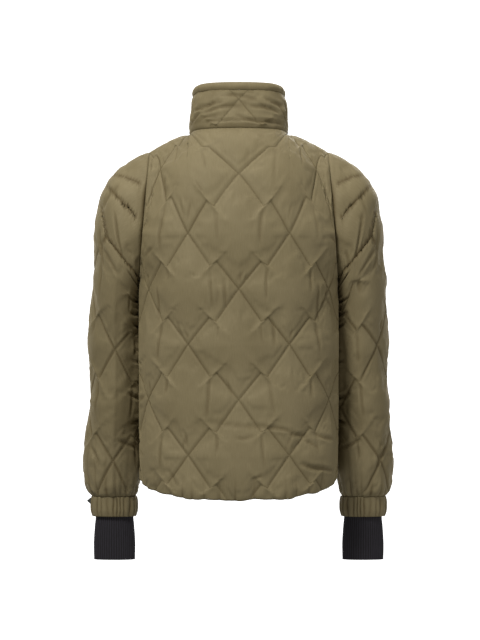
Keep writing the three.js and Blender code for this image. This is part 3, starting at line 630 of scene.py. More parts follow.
def between(points):
    """Where the sheet lies that keeps sleeve and body apart, in x. Lower down, the sleeve hangs in
    front of the body's widest part, so the sheet curves in behind it."""
    y, z = points[..., 1], points[..., 2]
    straight = UNDERARM_X + GAP / 2 + 1.85 * np.clip((UNDERARM_Z - z) / 32, 0, 1)
    share = np.clip((y - 15) / 35, 0, 1)
    in_front = share**2 * (3 - 2 * share) * np.clip((UNDERARM_Z - 32 - z) / 60, 0, 1)
    return np.where(z > UNDERARM_Z, armhole_x(z) + GAP / 2, straight - 6 * in_front)


def leaned(apart, z):
    """Arm and body lean on each other: below the armhole, cloth that comes near the sheet lies on it."""
    reach = 4.5 * np.clip((UNDERARM_Z - 20 - z) / 30, 0, 1) * np.clip((z + 600) / 60, 0, 1)
    return np.where(apart < 2 * reach, np.maximum(2 * (apart - reach), 0), apart)


def unit(vectors):
    return vectors / np.linalg.norm(vectors, axis=-1, keepdims=True)


ARMHOLE_SLOPE = (SHOULDER_X - UNDERARM_X) / (SHOULDER_Z - UNDERARM_Z)
ARMHOLE_NORMAL = unit(np.array([1.0, 0.0, -ARMHOLE_SLOPE]))


# %% Mesh of a wall
def corners(numbers):
    """The four corners of each cell of a grid of point numbers."""
    return numbers[:-1, :-1], numbers[:-1, 1:], numbers[1:, 1:], numbers[1:, :-1]


def wall_faces(numbers, inner_offset, climbs, ring):
    """Triangles of the outside, whose diagonals follow the stitching, then quads of the inside and rims."""
    a, b, c, d = corners(numbers)
    first = np.where(climbs[..., None], np.stack([a, b, c], -1), np.stack([a, b, d], -1))
    second = np.where(climbs[..., None], np.stack([a, c, d], -1), np.stack([b, c, d], -1))
    outside = np.concatenate([first.reshape(-1, 3), second.reshape(-1, 3)])
    inside = np.stack([d, c, b, a], -1).reshape(-1, 4) + inner_offset
    borders = [numbers[0], numbers[-1][::-1]]
    if not ring:
        borders += [numbers[::-1, 0], numbers[:, -1]]
    rims = []
    for border in borders:
        here, after = border[:-1], border[1:]
        rims.append(np.stack([after, here, here + inner_offset, after + inner_offset], -1))
    return outside, inside, np.concatenate(rims)


def wall_mesh(name, outer, inner, threads, climbs, material, ring=False, sewn=None):
    """A closed wall between two grids of points in millimetres. threads holds each point's cloth
    coordinates, in metres, and sewn the painted shade that darkens its colour. In a ring, the last
    column repeats the first."""
    rows, columns = outer.shape[:2]
    kept = columns - 1 if ring else columns
    numbers = np.arange(rows * kept).reshape(rows, kept)
    if ring:
        numbers = np.concatenate([numbers, numbers[:, :1]], 1)
    cloth_numbers = np.arange(rows * columns).reshape(rows, columns)
    outside, inside, rims = wall_faces(numbers, rows * kept, climbs, ring)
    faces = [*outside.tolist(), *inside.tolist(), *rims.tolist()]
    points = np.concatenate([outer[:, :kept].reshape(-1, 3), inner[:, :kept].reshape(-1, 3)]) * MM
    mesh = bpy.data.meshes.new(name)
    mesh.from_pydata(points, [], faces)
    corner = [part.ravel() for part in wall_faces(cloth_numbers, 0, climbs, ring)]
    layer = mesh.uv_layers.new(name="cloth")
    layer.data.foreach_set("uv", threads.reshape(-1, 2)[np.concatenate(corner)].ravel())
    # sewn is painted shade, stored for the material.
    if sewn is not None:
        shade = np.zeros(len(points))
        shade[: rows * kept] = sewn[:, :kept].ravel()
        mesh.attributes.new("sewn", "FLOAT", "POINT").data.foreach_set("value", shade)
    smooth = np.arange(len(faces)) < len(faces) - len(rims)
    mesh.polygons.foreach_set("use_smooth", smooth)
    mesh.materials.append(material)
    bm = bmesh.new()
    bm.from_mesh(mesh)
    if bm.calc_volume(signed=True) < 0:
        bmesh.ops.reverse_faces(bm, faces=bm.faces)
        bm.to_mesh(mesh)
    bm.free()
    obj = bpy.data.objects.new(name, mesh)
    bpy.context.scene.collection.objects.link(obj)
    return obj


# %% Filling with air
MOST_AIR = 1.0  # millimetres that air may move a point


def stitched_points(cut):
    border = np.zeros(cut["off"].shape, bool)
    border[[0, -1]] = border[:, [0, -1]] = True
    return border | (cut["off"] < 0.01)


def fill_with_air(name, cut, pressure=4.0, looser=0.03, frames=16):
    """How far air moves each point of a piece between its pinned stitches, in millimetres, cut off
    at MOST_AIR. The cloth is cut a little larger than its form, so it wrinkles as it fills."""
    shape = cut["off"].shape
    bm = bmesh.new()
    bmesh.ops.create_grid(bm, x_segments=shape[1] - 1, y_segments=shape[0] - 1, size=1)
    mesh = bpy.data.meshes.new(name)
    bm.to_mesh(mesh)
    bm.free()
    start = cut["form"] + cut["normal"] * (cut["swell"] + cut["creases"])[..., None]
    mesh.vertices.foreach_set("co", (start * MM).ravel())
    obj = bpy.data.objects.new(name, mesh)
    bpy.context.scene.collection.objects.link(obj)
    pins = obj.vertex_groups.new(name="stitched")
    pins.add(np.flatnonzero(stitched_points(cut)).tolist(), 1, "REPLACE")
    cloth = obj.modifiers.new("cloth", "CLOTH")
    settings = cloth.settings
    settings.quality = 5
    settings.mass = 0.15
    settings.tension_stiffness = settings.compression_stiffness = 20
    settings.shear_stiffness = 8
    settings.bending_stiffness = 0.08
    settings.air_damping = 4
    settings.shrink_min = -looser
    settings.use_pressure = True
    settings.uniform_pressure_force = pressure * cut["outward"]
    settings.vertex_group_mass = "stitched"
    settings.effector_weights.gravity = 0
    cloth.collision_settings.use_collision = False
    cloth.point_cache.frame_end = frames
    scene = bpy.context.scene
    for frame_number in range(1, frames + 1):
        scene.frame_set(frame_number)
    blown = obj.evaluated_get(bpy.context.evaluated_depsgraph_get()).data
    points = np.empty(len(blown.vertices) * 3)
    blown.vertices.foreach_get("co", points)
    bpy.data.objects.remove(obj)
    bpy.data.meshes.remove(mesh)
    scene.frame_set(1)
    moved = points.reshape(*shape, 3) / MM - start
    height = (moved * cut["normal"]).sum(-1)
    print(name, "air moves it", round(float(height.min()), 1), "to", round(float(height.max()), 1), "mm")
    return np.clip(height - np.median(height), -MOST_AIR, MOST_AIR)


def refine(values):
    """A grid of values with one more between each two."""
    tall = np.empty((2 * values.shape[0] - 1, values.shape[1]))
    tall[::2], tall[1::2] = values, (values[1:] + values[:-1]) / 2
    wide = np.empty((tall.shape[0], 2 * tall.shape[1] - 1))
    wide[:, ::2], wide[:, 1::2] = tall, (tall[:, 1:] + tall[:, :-1]) / 2
    return wide


# %% Stitches
THREAD_RADIUS = 0.32
STITCH_RINGS = np.array([0.08, 0.26, 0.74, 0.92])  # along each stitch, from hole to hole
STITCH_LIFT = np.array([-0.35, 0.22, 0.22, -0.35])
STITCH_SIDES = 5


def solid_strips(name, rings, material):
    """One mesh of many short closed tubes. rings holds, for each tube, its rings of points."""
    count, length, sides = rings.shape[:3]
    numbers = np.arange(count * length * sides).reshape(count, length, sides)
    after = np.roll(numbers, -1, 2)
    walls = np.stack([numbers[:, :-1], after[:, :-1], after[:, 1:], numbers[:, 1:]], -1).reshape(-1, 4)
    ends = np.concatenate([numbers[:, 0, ::-1], numbers[:, -1]])
    mesh = bpy.data.meshes.new(name)
    mesh.from_pydata(rings.reshape(-1, 3) * MM, [], [*walls.tolist(), *ends.tolist()])
    mesh.materials.append(material)
    obj = bpy.data.objects.new(name, mesh)
    bpy.context.scene.collection.objects.link(obj)
    return obj


def sew(name, outer, cut, climbs):
    """A row of stitches along every stitch line of a piece, one for each cell that it crosses."""
    sewn = (cut["off"] < 0.01) & (cut["edge"] > 0.1)
    a, b, c, d = (tuple(part) for part in corners(np.stack([*np.indices(sewn.shape)], -1)))
    a, b, c, d = (np.stack(part) for part in (a, b, c, d))
    start, end = (np.where(climbs[..., None], first, second) for first, second in ((a, b), (c, d)))
    row, column = start[..., 0], start[..., 1]
    row_end, column_end = end[..., 0], end[..., 1]
    chosen = sewn[row, column] & sewn[row_end, column_end]
    row, column, row_end, column_end = (part[chosen] for part in (row, column, row_end, column_end))
    from_point, to_point = outer[row, column], outer[row_end, column_end]
    up = cut["normal"][row, column]
    run = to_point - from_point
    side = unit(np.cross(up, run))
    middle = from_point[:, None] + run[:, None] * STITCH_RINGS[None, :, None]
    middle = middle + up[:, None] * (STITCH_LIFT + THREAD_RADIUS)[None, :, None]
    turn = np.arange(STITCH_SIDES) * 2 * pi / STITCH_SIDES
    circle = np.cos(turn)[:, None] * side[:, None, None, :] + np.sin(turn)[:, None] * up[:, None, None, :]
    rings = middle[:, :, None, :] + THREAD_RADIUS * circle
    obj = solid_strips(name, rings, THREAD)
    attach(obj, "jacket")
    print(name, len(rings), "stitches")
    return obj


# %% Finishing a piece
def cells(first, last, bottom, top, fine):
    return np.meshgrid(
        np.linspace(first, last, round((last - first) * fine) + 1),
        np.linspace(bottom, top, round((top - bottom) * fine) + 1),
    )


# Painted shade: how wide it is beside a stitch line, and how dark it gets in a crease.
LINE_DARK = 1.5  # millimetres beside a stitch line that are drawn dark
DARKEST_CREASE, CREASE_DEPTH = 0.45, 3.4  # how dark a crease gets, and the depth that would be fully dark


def quilted_piece(name, lay, span, wall=WALL, ring=False):
    """A padded piece: its fine grid, its fullness and creases, and the unevenness that air adds."""
    air = refine(fill_with_air(name + "_air", lay(*cells(*span, AIR))))
    cut = lay(*cells(*span, FINE))
    calm = np.clip(cut["off"] * LINES_APART / 8, 0, 1)
    height = np.maximum(cut["swell"] + air * calm + cut["creases"], THINNEST)
    outer = cut["form"] + cut["normal"] * height[..., None]
    outer = cut["kept_clear"](outer)
    inner = cut["form"] - cut["normal"] * wall
    climbs = (np.floor(cut["columns"] + 1e-6) + np.floor(cut["rows"] + 1e-6)) % 2 == 0
    stitches = sew(name + "_stitches", outer, cut, climbs[:-1, :-1])
    # Painted shade: beside the stitch lines, in crease valleys, and the piece's own painted shade.
    sewn = cut["tight"] * np.exp(-((cut["far"] * LINES_APART / LINE_DARK) ** 2))
    sewn = sewn * np.clip(cut["edge"], 0, 1)
    sewn *= 0.7 + 0.3 * uneven(*np.moveaxis(cut["threads"] / MM, -1, 0), 45, 71)
    sewn = np.maximum(sewn, np.clip(-cut["creases"] / CREASE_DEPTH, 0, DARKEST_CREASE))
    sewn = np.maximum(sewn, cut["shade"])
    piece = wall_mesh(name, outer, inner, cut["threads"], climbs[:-1, :-1], OLIVE, ring, sewn)
    return piece, stitches


def place_piece(obj, node):
    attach(obj, "jacket")
    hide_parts(node)
    print(obj.name, len(obj.data.vertices), "points")
    return obj


# %% [markdown]
# ## Back and fronts
#
# The back runs from side seam to side seam in one piece. The front is hidden in the photograph,
# so its two panels carry the same diamonds, with the zip between them.


# %% Body panels
def seam_clear(columns, rows, half_front):
    """How far each point is from its panel's edges, in fifths of a half diamond."""
    side = (LAST_COLUMN - np.abs(columns)) * 5
    top = (1 - rows) * 5 * np.clip(0.4 + 0.6 * (np.abs(columns) - 1), 0.4, 1)
    hem = (rows - LAST_ROW) * 5 + 0.25
    edge = np.minimum(np.minimum(side, top), hem)
    return np.minimum(edge, np.abs(columns) * 5) if half_front else edge


def body_normals(form, columns, rows, side):
    """Outward directions of a body panel. Along its seams they lie in the plane between the pieces."""
    normal = grid_normals(form) * -side
    at_side = np.abs(columns) > LAST_COLUMN - 1e-6
    plane = np.stack([np.sign(columns) * ARMHOLE_NORMAL[0], 0 * rows, 0 * rows + ARMHOLE_NORMAL[2]], -1)
    inward = (normal * plane).sum(-1, keepdims=True) * plane
    normal = np.where((at_side & (rows > UNDERARM_ROW + 1e-6))[..., None], normal - inward, normal)
    side_seam = at_side & (rows < UNDERARM_ROW + 1e-6)
    shoulder = (rows > 1 - 1e-6) & (np.abs(columns) > 1 + 1e-6)
    normal[..., 1] = np.where(side_seam | shoulder, 0, normal[..., 1])
    return unit(normal)


HEM_GATHERS = 4.2


def hem_gathers(x, rows):
    """Short uneven gathers that the hem's elastic makes, and the shade painted between them."""
    up = (rows - LAST_ROW) * HALF_TALL
    wave = np.abs(np.sin(pi * x / 27 + 1.3 * uneven(x, 0 * x, 60, 21))) ** 0.8
    reach = 24 + 12 * uneven(x, 0 * x, 34, 22)
    low = np.exp(-up / reach)
    deep = 0.65 + 0.35 * uneven(x, 0 * x, 48, 23)
    return HEM_GATHERS * deep * wave * low, deep * low * np.clip(1 - 2.4 * wave, 0, 1)


def body_lay(table, side):
    creases = stitch_creases(-3, 3, LAST_ROW, 1, HALF_WIDE, HALF_TALL, 5 if side < 0 else 6)

    def lay(columns, rows):
        edge = seam_clear(columns, rows, side > 0)
        window = np.clip(edge / 1.5, 0, 1)
        pulled_columns, pulled_rows, off, far, tight = stitch_grid(columns, rows, window)
        form = read_table(table, np.abs(pulled_columns), pulled_rows)
        form[..., 0] *= np.where(pulled_columns < 0, -1, 1)
        form[..., 1] += side * GAP / 2
        normal = body_normals(form, columns, rows, side)
        x, z = pulled_columns * HALF_WIDE, pulled_rows * HALF_TALL
        pressed = 1 - 0.55 * (rows < UNDERARM_ROW) * np.clip((np.abs(columns) - 2) / 0.5, 0, 1)
        away = pillow(edge / 1.6)
        pressed = pressed * (1 - 0.4 * np.clip((np.abs(columns) - 1.2) / 0.8, 0, 1) * np.clip(2 * rows, 0, 1))
        by_seam = np.clip((np.abs(columns) - 1) / 0.4, 0, 1) * np.clip((rows - LAST_ROW) / 0.8, 0, 1)
        at_seam = seam_rise(form[..., 2]) * by_seam
        swell = at_seam * (1 - away) + PUFF * fullness(far, tight) * pressed * away
        relief = creased(x, z, creases + BACK_CREASES) * BOLD
        relief += 0.4 * uneven(x, z, 42, 11) + 0.12 * uneven(x, z, 15, 12)
        relief += 0.7 * uneven(x, z, 13, 13) * np.exp(-edge / 1.2)
        crowded = 1 - 0.7 * np.clip(np.abs(columns) - 1, 0, 1) * np.clip(rows, 0, 1)
        # shade is the painted shade between the hem's gathers.
        gathers, shade = hem_gathers(x, rows)
        relief = relief * np.clip(edge / 0.8, 0.15, 1) * crowded + gathers
        form[..., 2] += 2.2 * uneven(x, 0 * x, 30, 24) * np.exp(-(rows - LAST_ROW) * HALF_TALL / 22)
        joined = (np.abs(columns) > LAST_COLUMN - 1e-6) & (rows > UNDERARM_ROW - 1e-6)

        def kept_clear(outer):
            limit = np.maximum(between(outer) - 0.35, np.abs(form[..., 0]))
            apart = leaned(np.maximum(limit - np.abs(outer[..., 0]), 0), outer[..., 2])
            held = np.sign(outer[..., 0]) * (limit - apart)
            outer[..., 0] = np.where(joined, outer[..., 0], held)
            return outer

        return {
            "columns": columns, "rows": rows, "off": off, "edge": edge, "form": form, "normal": normal,
            "swell": swell, "far": far, "tight": tight, "shade": shade,
            "creases": relief, "kept_clear": kept_clear, "outward": -side,
            "threads": np.stack([x, z], -1) * MM,
        }

    return lay


BACK_SPAN = (-LAST_COLUMN, LAST_COLUMN, LAST_ROW, 1.0)
FRONT_SPAN = (0.0, LAST_COLUMN, LAST_ROW, 1.0)
back, _ = quilted_piece("back_quilt", body_lay(back_table, -1), BACK_SPAN)
place_piece(back, "back")
front_right, front_stitches = quilted_piece("front_right_quilt", body_lay(front_table, 1), FRONT_SPAN)
place_piece(front_right, "front_right")


def mirrored(obj, name):
    """A copy of a piece for the wearer's left."""
    copy = bpy.data.objects.new(name, obj.data.copy())
    copy.data.name = name
    bpy.context.scene.collection.objects.link(copy)
    points = np.empty(len(copy.data.vertices) * 3)
    copy.data.vertices.foreach_get("co", points)
    points[0::3] *= -1
    copy.data.vertices.foreach_set("co", points)
    copy.data.flip_normals()
    return copy


place_piece(mirrored(front_right, "front_left_quilt"), "front_left")
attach(mirrored(front_stitches, "front_left_quilt_stitches"), "jacket")


# %% [markdown]
# ## Sleeves
#
# A sleeve is a ring of sections that fan out under the arm. Its diamonds turn a little from side
# to side, it wrinkles most where it bends beside the body, and it is gathered into the cuff. The
# fanned sections would bend the diamonds over its top, so there, as seen from behind, single
# stitch lines take their place. They have a groove but no thread. Two bands are painted dark,
# because lamps alone don't make them as dark as in the photograph.

# %% Sleeves
SLEEVE_WIDE, SLEEVE_TALL = 92.0, 112.0  # millimetres of cloth in half a diamond

# Each row: from_x, from_z, to_x, to_z, depth, width, bow, with x from the outer line over the back
SLEEVE_CREASES = [
    (168, 30, 120, 12, 2.2, 4.0, 3),
    (176, -14, 112, -22, 2.4, 4.2, -4),
    (178, -60, 124, -86, 2.6, 4.4, 5),
    (182, -92, 140, -70, 2.0, 3.6, 3),
    (176, -118, 128, -126, 2.4, 4.2, -3),
    (180, -158, 136, -142, 2.2, 3.8, 3),
    (176, -196, 140, -214, 2.0, 3.8, 3),
    (184, -250, 132, -238, 1.8, 4.0, -4),
    (176, -318, 118, -308, 1.8, 3.8, 4),
    (170, -352, 130, -370, 1.8, 3.8, 3),
    (60, 20, 96, -14, 1.8, 3.6, 3),
    (40, -30, 62, -80, 1.6, 3.6, -3),
    (46, -52, 96, -60, 1.4, 3.8, 3),
    (98, -402, 150, -420, 1.8, 3.8, -3),
    (40, -420, 66, -462, 1.7, 3.6, 2),
    (252, -40, 300, -66, 1.8, 4.0, 3),
    (262, -130, 310, -118, 1.6, 4.0, -3),
    (246, -220, 306, -236, 1.5, 4.0, 3),
    (322, -330, 280, -352, 1.4, 4.0, 2),
]


# %% Lines over the sleeve's top
# Each row: from_x, from_z, to_x, to_z of a stitch line over the top of the right sleeve. They
# follow the photograph's left sleeve, mirrored.
CAP_LINES = [
    (252, -84, 214, -90),
    (214, -90, 183, -103),
    (243, -104, 219, -132),
    (219, -132, 190, -166),
    (249, -148, 240, -200),
    (240, -200, 206, -250),
    (206, -250, 180, -284),
    (262, -244, 240, -200),
]
CAP_ROWS = (-0.62, -0.38)  # where the sleeve's diamonds give way to these lines
CAP_TIGHT = 0.42  # how tightly these lines are sewn, against 1 for the diamonds


def way_to_cap_lines(points):
    """The way to the nearest line, in x and z, as seen from behind."""
    place = points[..., [0, 2]]
    way = np.full(place.shape, 1000.0)
    for line in np.array(CAP_LINES, float):
        start, run = line[:2], line[2:] - line[:2]
        along = np.clip((place - start) @ run / (run @ run), 0, 1)
        this = start + along[..., None] * run - place
        nearer = np.linalg.norm(this, axis=-1) < np.linalg.norm(way, axis=-1)
        way = np.where(nearer[..., None], this, way)
    return way


def cap_share(columns, rows):
    """1 over the sleeve's top where these lines show, and 0 on its front and lower down."""
    high = np.clip((rows - CAP_ROWS[0]) / (CAP_ROWS[1] - CAP_ROWS[0]), 0, 1)
    return high * np.clip(1 + 4 * np.sin(columns * pi / 2), 0, 1)


def pull_to_cap_lines(form, may_move):
    """Moves the points beside a line onto it, and gives each point's distance from the lines."""
    cell = np.hypot(np.gradient(form[..., 0], axis=1), np.gradient(form[..., 2], axis=1)) + 0.5
    cell[:, -1] = cell[:, 0]
    way = way_to_cap_lines(form)
    to_line = np.linalg.norm(way, axis=-1)
    pulled = may_move * np.clip((0.75 - to_line / cell) / 0.15, 0, 1)
    form[..., [0, 2]] += way * pulled[..., None]
    return to_line * (1 - pulled)


# %% Sleeve form
def sleeve_point(row, angle):
    s = sleeve_section(row)
    cosine = np.cos(angle)
    share = s["widest"] + np.where(cosine > 0, 1 - s["widest"], s["widest"]) * cosine
    x = s["inner_x"] + (s["outer_x"] - s["inner_x"]) * share
    z = s["inner_z"] + (s["outer_z"] - s["inner_z"]) * share
    return np.stack([x, s["forward"] - s["depth"] * np.sin(angle), z], -1)


SLEEVE_SPAN = (0.0, 4.0, SLEEVE["row"][0], SLEEVE["row"][-1])
CREASED_MORE = 1.9  # how deep the sleeve's own creases are, against the table's depths
CUFF_GATHERS = 3.6
INNER_SHADE, SEAM_SHADE = 0.75, 0.9  # how dark the two painted bands are, up to 1


def sleeve_normals(form):
    """Outward directions. At the armhole they lie in the plane between the pieces."""
    normal = -grid_normals(form[:, :-1], ring=True)
    normal = np.concatenate([normal, normal[:, :1]], 1)
    across = (normal[-1] @ ARMHOLE_NORMAL)[:, None]
    normal[-1] -= across * ARMHOLE_NORMAL
    normal[0, :, 2] = 0
    return unit(normal)


def cuff_gathers(x, angle, up, seed, around):
    """Uneven folds that run up from the cuff, and how low on the sleeve each point is, up to 1."""
    fold_height = np.abs(np.sin(10 * angle + 0.9 * np.sin(3 * angle) + 0.5 * np.sin(7 * angle))) ** 0.8
    reach = 34 + 20 * uneven(x, 0 * x, 30, seed, around)
    return fold_height, np.exp(-(up * SLEEVE_TALL) / reach) * np.clip(up * 12, 0.3, 1)


def deep_shade(z, angle, from_top):
    """Two bands that are painted dark: the inner side beside the body, and along the armhole."""
    inner_side = np.clip((-np.cos(angle) - 0.7) / 0.2, 0, 1)
    inner_side *= np.clip((UNDERARM_Z + 40 - z) / 60, 0, 1)
    by_seam = np.exp(-((from_top * SLEEVE_TALL / 9) ** 2)) * np.clip((-90 - z) / 40, 0, 1)
    return np.maximum(INNER_SHADE * inner_side * np.clip((z + 640) / 60, 0, 1), SEAM_SHADE * by_seam)


def sleeve_lay(turn, seed):
    bottom, top = SLEEVE_SPAN[2:]
    around = 4 * SLEEVE_WIDE
    creases = stitch_creases(0, 3, bottom, top, SLEEVE_WIDE, SLEEVE_TALL, seed)

    def lay(columns, rows):
        edge = np.minimum(rows - bottom, top - rows) * 5
        on_cap = cap_share(columns, rows)
        window = np.clip(edge / 1.5, 0, 1) * (1 - on_cap)
        pulled_columns, pulled_rows, off, far, tight = stitch_grid(columns + turn, rows, window)
        angle = (pulled_columns - turn) * pi / 2
        form = sleeve_point(pulled_rows, angle)
        form[..., 0] += GAP
        to_line = pull_to_cap_lines(form, on_cap * (edge > 0.5))
        far = far * (1 - on_cap) + np.clip(1.4 * to_line / LINES_APART, 0, 1) * on_cap
        tight = tight * (1 - on_cap) + CAP_TIGHT * on_cap
        off = np.maximum(off, on_cap)
        height = form[..., 2]
        x, z = pulled_columns * SLEEVE_WIDE, pulled_rows * SLEEVE_TALL
        pressed = 1 - 0.55 * pillow(-2 * np.cos(angle))
        pressed *= 1 - 0.5 * on_cap * np.clip((height + 125) / 45, 0, 1)
        away = pillow(edge / 1.6)
        at_seam = seam_rise(height) * (rows > bottom + 0.5)
        swell = at_seam * (1 - away) + PUFF * fullness(far, tight) * pressed * away
        relief = BOLD * creased(x, z, creases, around)
        relief += CREASED_MORE * creased(x - turn * SLEEVE_WIDE, z, SLEEVE_CREASES, around)
        relief += 0.5 * uneven(x, z, 40, seed + 1, around) + 0.15 * uneven(x, z, 15, seed + 2, around)
        relief += 0.8 * uneven(x, z, 13, seed + 3, around) * np.exp(-edge / 1.2)
        gathers, low = cuff_gathers(x, angle, rows - bottom, seed + 4, around)
        relief = relief * np.clip(edge / 0.8, 0.15, 1) + CUFF_GATHERS * gathers * low
        # Painted shade along the lines over the sleeve's top, beside its stitch lines, and between the cuff's
        # gathers.
        painted_line_shade = 0.9 * np.exp(-((to_line / 1.8) ** 2)) * on_cap * np.clip(edge, 0, 1)
        painted_line_shade += 0.8 * tight * np.exp(-((far * LINES_APART / 2.6) ** 2)) * window
        shade = np.maximum(1.3 * low * np.clip(1 - 1.8 * gathers, 0, 1), painted_line_shade)
        shade = np.maximum(shade, deep_shade(height, angle, top - rows))

        def kept_clear(outer):
            limit = between(outer) + 0.35
            held = limit + leaned(np.maximum(outer[..., 0] - limit, 0), outer[..., 2])
            outer[:-1, :, 0] = held[:-1]
            return outer

        return {
            "columns": columns + turn, "rows": rows, "off": off, "edge": edge, "form": form,
            "normal": sleeve_normals(form), "swell": swell, "far": far, "tight": tight,
            "shade": shade, "creases": relief, "kept_clear": kept_clear, "outward": -1,
            "threads": np.stack([x, z], -1) * MM,
        }

    return lay


SLEEVE_TURN = {"right": -0.6, "left": -1.0}  # half diamonds, so that left and right differ


def sleeve(name, side, seed):
    return quilted_piece(name, sleeve_lay(SLEEVE_TURN[side], seed), SLEEVE_SPAN, ring=True)


sleeve_right, _ = sleeve("sleeve_right_quilt", "right", 31)
place_piece(sleeve_right, "sleeve_right")
turned, turned_stitches = sleeve("sleeve_turned", "left", 41)
place_piece(mirrored(turned, "sleeve_left_quilt"), "sleeve_left")
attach(mirrored(turned_stitches, "sleeve_left_quilt_stitches"), "jacket")
bpy.data.objects.remove(turned)
bpy.data.objects.remove(turned_stitches)
print("sleeves", round(4 * SLEEVE_WIDE), "mm round")

# %% [markdown]
# ## Collar
#
# The stand collar is a quilted strip that leans in a little towards its top. It is thicker than
# the other pieces, and crumpled, so its diamonds are shallow and its creases deep. A plain strip
# folded over its top edge finishes it.

# %% Collar
COLLAR_CROSSING, COLLAR_HALF_TALL = 53.0, 88.0
COLLAR_BOTTOM = COLLAR_CROSSING - 0.6 * COLLAR_HALF_TALL
COLLAR_HEIGHT = COLLAR_CROSSING + 0.2 * COLLAR_HALF_TALL
COLLAR_TOP_HALF, COLLAR_TOP_BACK, COLLAR_TOP_FRONT, COLLAR_FORWARD = 82.5, 69.0, 76.0, 6.0
COLLAR_COLUMN, COLLAR_PUFF = 2.9, 5.5
COLLAR_TIGHT, COLLAR_CREASED = 0.7, 1.8
BAND_HEIGHT, BAND_BULGE = 14.5, 4.5
BAND_ACROSS, BAND_UP = 400, 16  # cells
ZIP_ANGLE = pi - np.arcsin(ZIP_EDGE / NECK_HALF)


def collar_form(shares, heights):
    """Points of the collar's stitched surface: shares run from zip to zip, -1 to 1, and heights
    up from the neck seam."""
    half_turn = np.abs(shares)
    angle = np.where(half_turn <= 0.5, half_turn * pi, pi / 2 + (ZIP_ANGLE - pi / 2) * (2 * half_turn - 1))
    angle = angle * np.sign(shares)
    up = (heights - COLLAR_BOTTOM) / (COLLAR_HEIGHT - COLLAR_BOTTOM + BAND_HEIGHT)
    front = np.cos(angle) < 0
    half = NECK_HALF + (COLLAR_TOP_HALF - NECK_HALF) * up
    low = np.where(front, NECK_FRONT, NECK_BACK)
    depth = low + (np.where(front, COLLAR_TOP_FRONT, COLLAR_TOP_BACK) - low) * up
    x = np.where(half_turn > 0.9999, np.sign(shares) * ZIP_EDGE, half * np.sin(angle))
    y = -depth * np.cos(angle) + COLLAR_FORWARD * up
    z = neck_point(angle)[..., 2] + heights - COLLAR_BOTTOM + GAP
    out = unit(np.stack([x / NECK_HALF**2, y / NECK_BACK**2, 0 * x], -1))
    mitre = out * np.cos(NECK_MITRE)
    mitre[..., 2] = np.sin(NECK_MITRE)
    share = np.clip(1 - (heights - COLLAR_BOTTOM) / 40, 0, 1)[..., None]
    normal = out * (1 - share) + mitre * share
    normal[..., 0] = np.where(half_turn > 0.9999, 0, normal[..., 0])
    return np.stack([x, y, z], -1), unit(normal)


# Each row: from_x, from_z, to_x, to_z, depth, width, bow, with x from the middle of the back
COLLAR_CREASES = [
    (-124, 10, 124, 9, 1.5, 2.4, 3),
    (-118, 12, -72, 32, 1.6, 2.8, -3),
    (118, 12, 84, 46, 1.6, 2.8, 3),
    (-104, 36, -62, 33, 1.5, 2.4, 2),
    (-64, 34, -34, 56, 1.2, 2.4, 1),
    (30, 56, 58, 30, 1.2, 2.4, -1),
    (-92, 40, -20, 52, 1.6, 3.4, -4),
    (-70, 26, 4, 40, 1.8, 3.4, 5),
    (-84, 14, -30, 20, 1.3, 3.2, 3),
    (-36, 60, 34, 52, 1.4, 3.2, 4),
    (-8, 22, 62, 12, 1.5, 3.4, -4),
    (18, 40, 84, 28, 1.9, 3.4, 4),
    (44, 58, 96, 44, 1.5, 3.4, -3),
    (30, 10, 96, 8, 1.2, 3.2, 2),
    (-120, 56, -98, 22, 1.6, 3.6, 3),
    (104, 58, 122, 20, 1.5, 3.6, -3),
    (-180, 48, -140, 30, 1.4, 3.4, 3),
    (142, 24, 190, 44, 1.5, 3.4, -4),
    (-236, 30, -204, 52, 1.3, 3.2, 3),
    (206, 50, 242, 26, 1.3, 3.2, 3),
]


def collar_lay(columns, rows):
    shares = columns / COLLAR_COLUMN
    edge = np.minimum((1 - np.abs(shares)) * 10, np.minimum((rows + 0.6) * 5, (0.2 - rows) * 5 + 0.2))
    pulled_columns, pulled_rows, off, far, tight = stitch_grid(columns, rows, np.clip(edge / 0.8, 0, 1))
    heights = COLLAR_CROSSING + COLLAR_HALF_TALL * pulled_rows
    form, normal = collar_form(pulled_columns / COLLAR_COLUMN, heights)
    x, z = pulled_columns * HALF_WIDE, heights
    tight = COLLAR_TIGHT * tight
    relief = COLLAR_CREASED * creased(x, z, COLLAR_CREASES)
    relief = relief + 1.0 * uneven(x, z, 26, 51) + 0.5 * uneven(x, z, 12, 52)
    relief += 0.8 * uneven(x, z, 11, 53) * np.exp(-edge / 0.8)
    return {
        "columns": columns, "rows": rows, "off": off, "edge": edge, "form": form, "normal": normal,
        "swell": COLLAR_PUFF * fullness(far, tight) * pillow(edge / 1.4), "outward": 1,
        "far": far, "tight": tight, "shade": 0 * far,
        "creases": relief * np.clip(edge / 0.6, 0.1, 1), "kept_clear": lambda outer: outer,
        "threads": np.stack([x, z], -1) * MM,
    }


COLLAR_SPAN = (-COLLAR_COLUMN, COLLAR_COLUMN, -0.6, 0.2)
collar, _ = quilted_piece("collar_quilt", collar_lay, COLLAR_SPAN, COLLAR_WALL)
place_piece(collar, "collar")


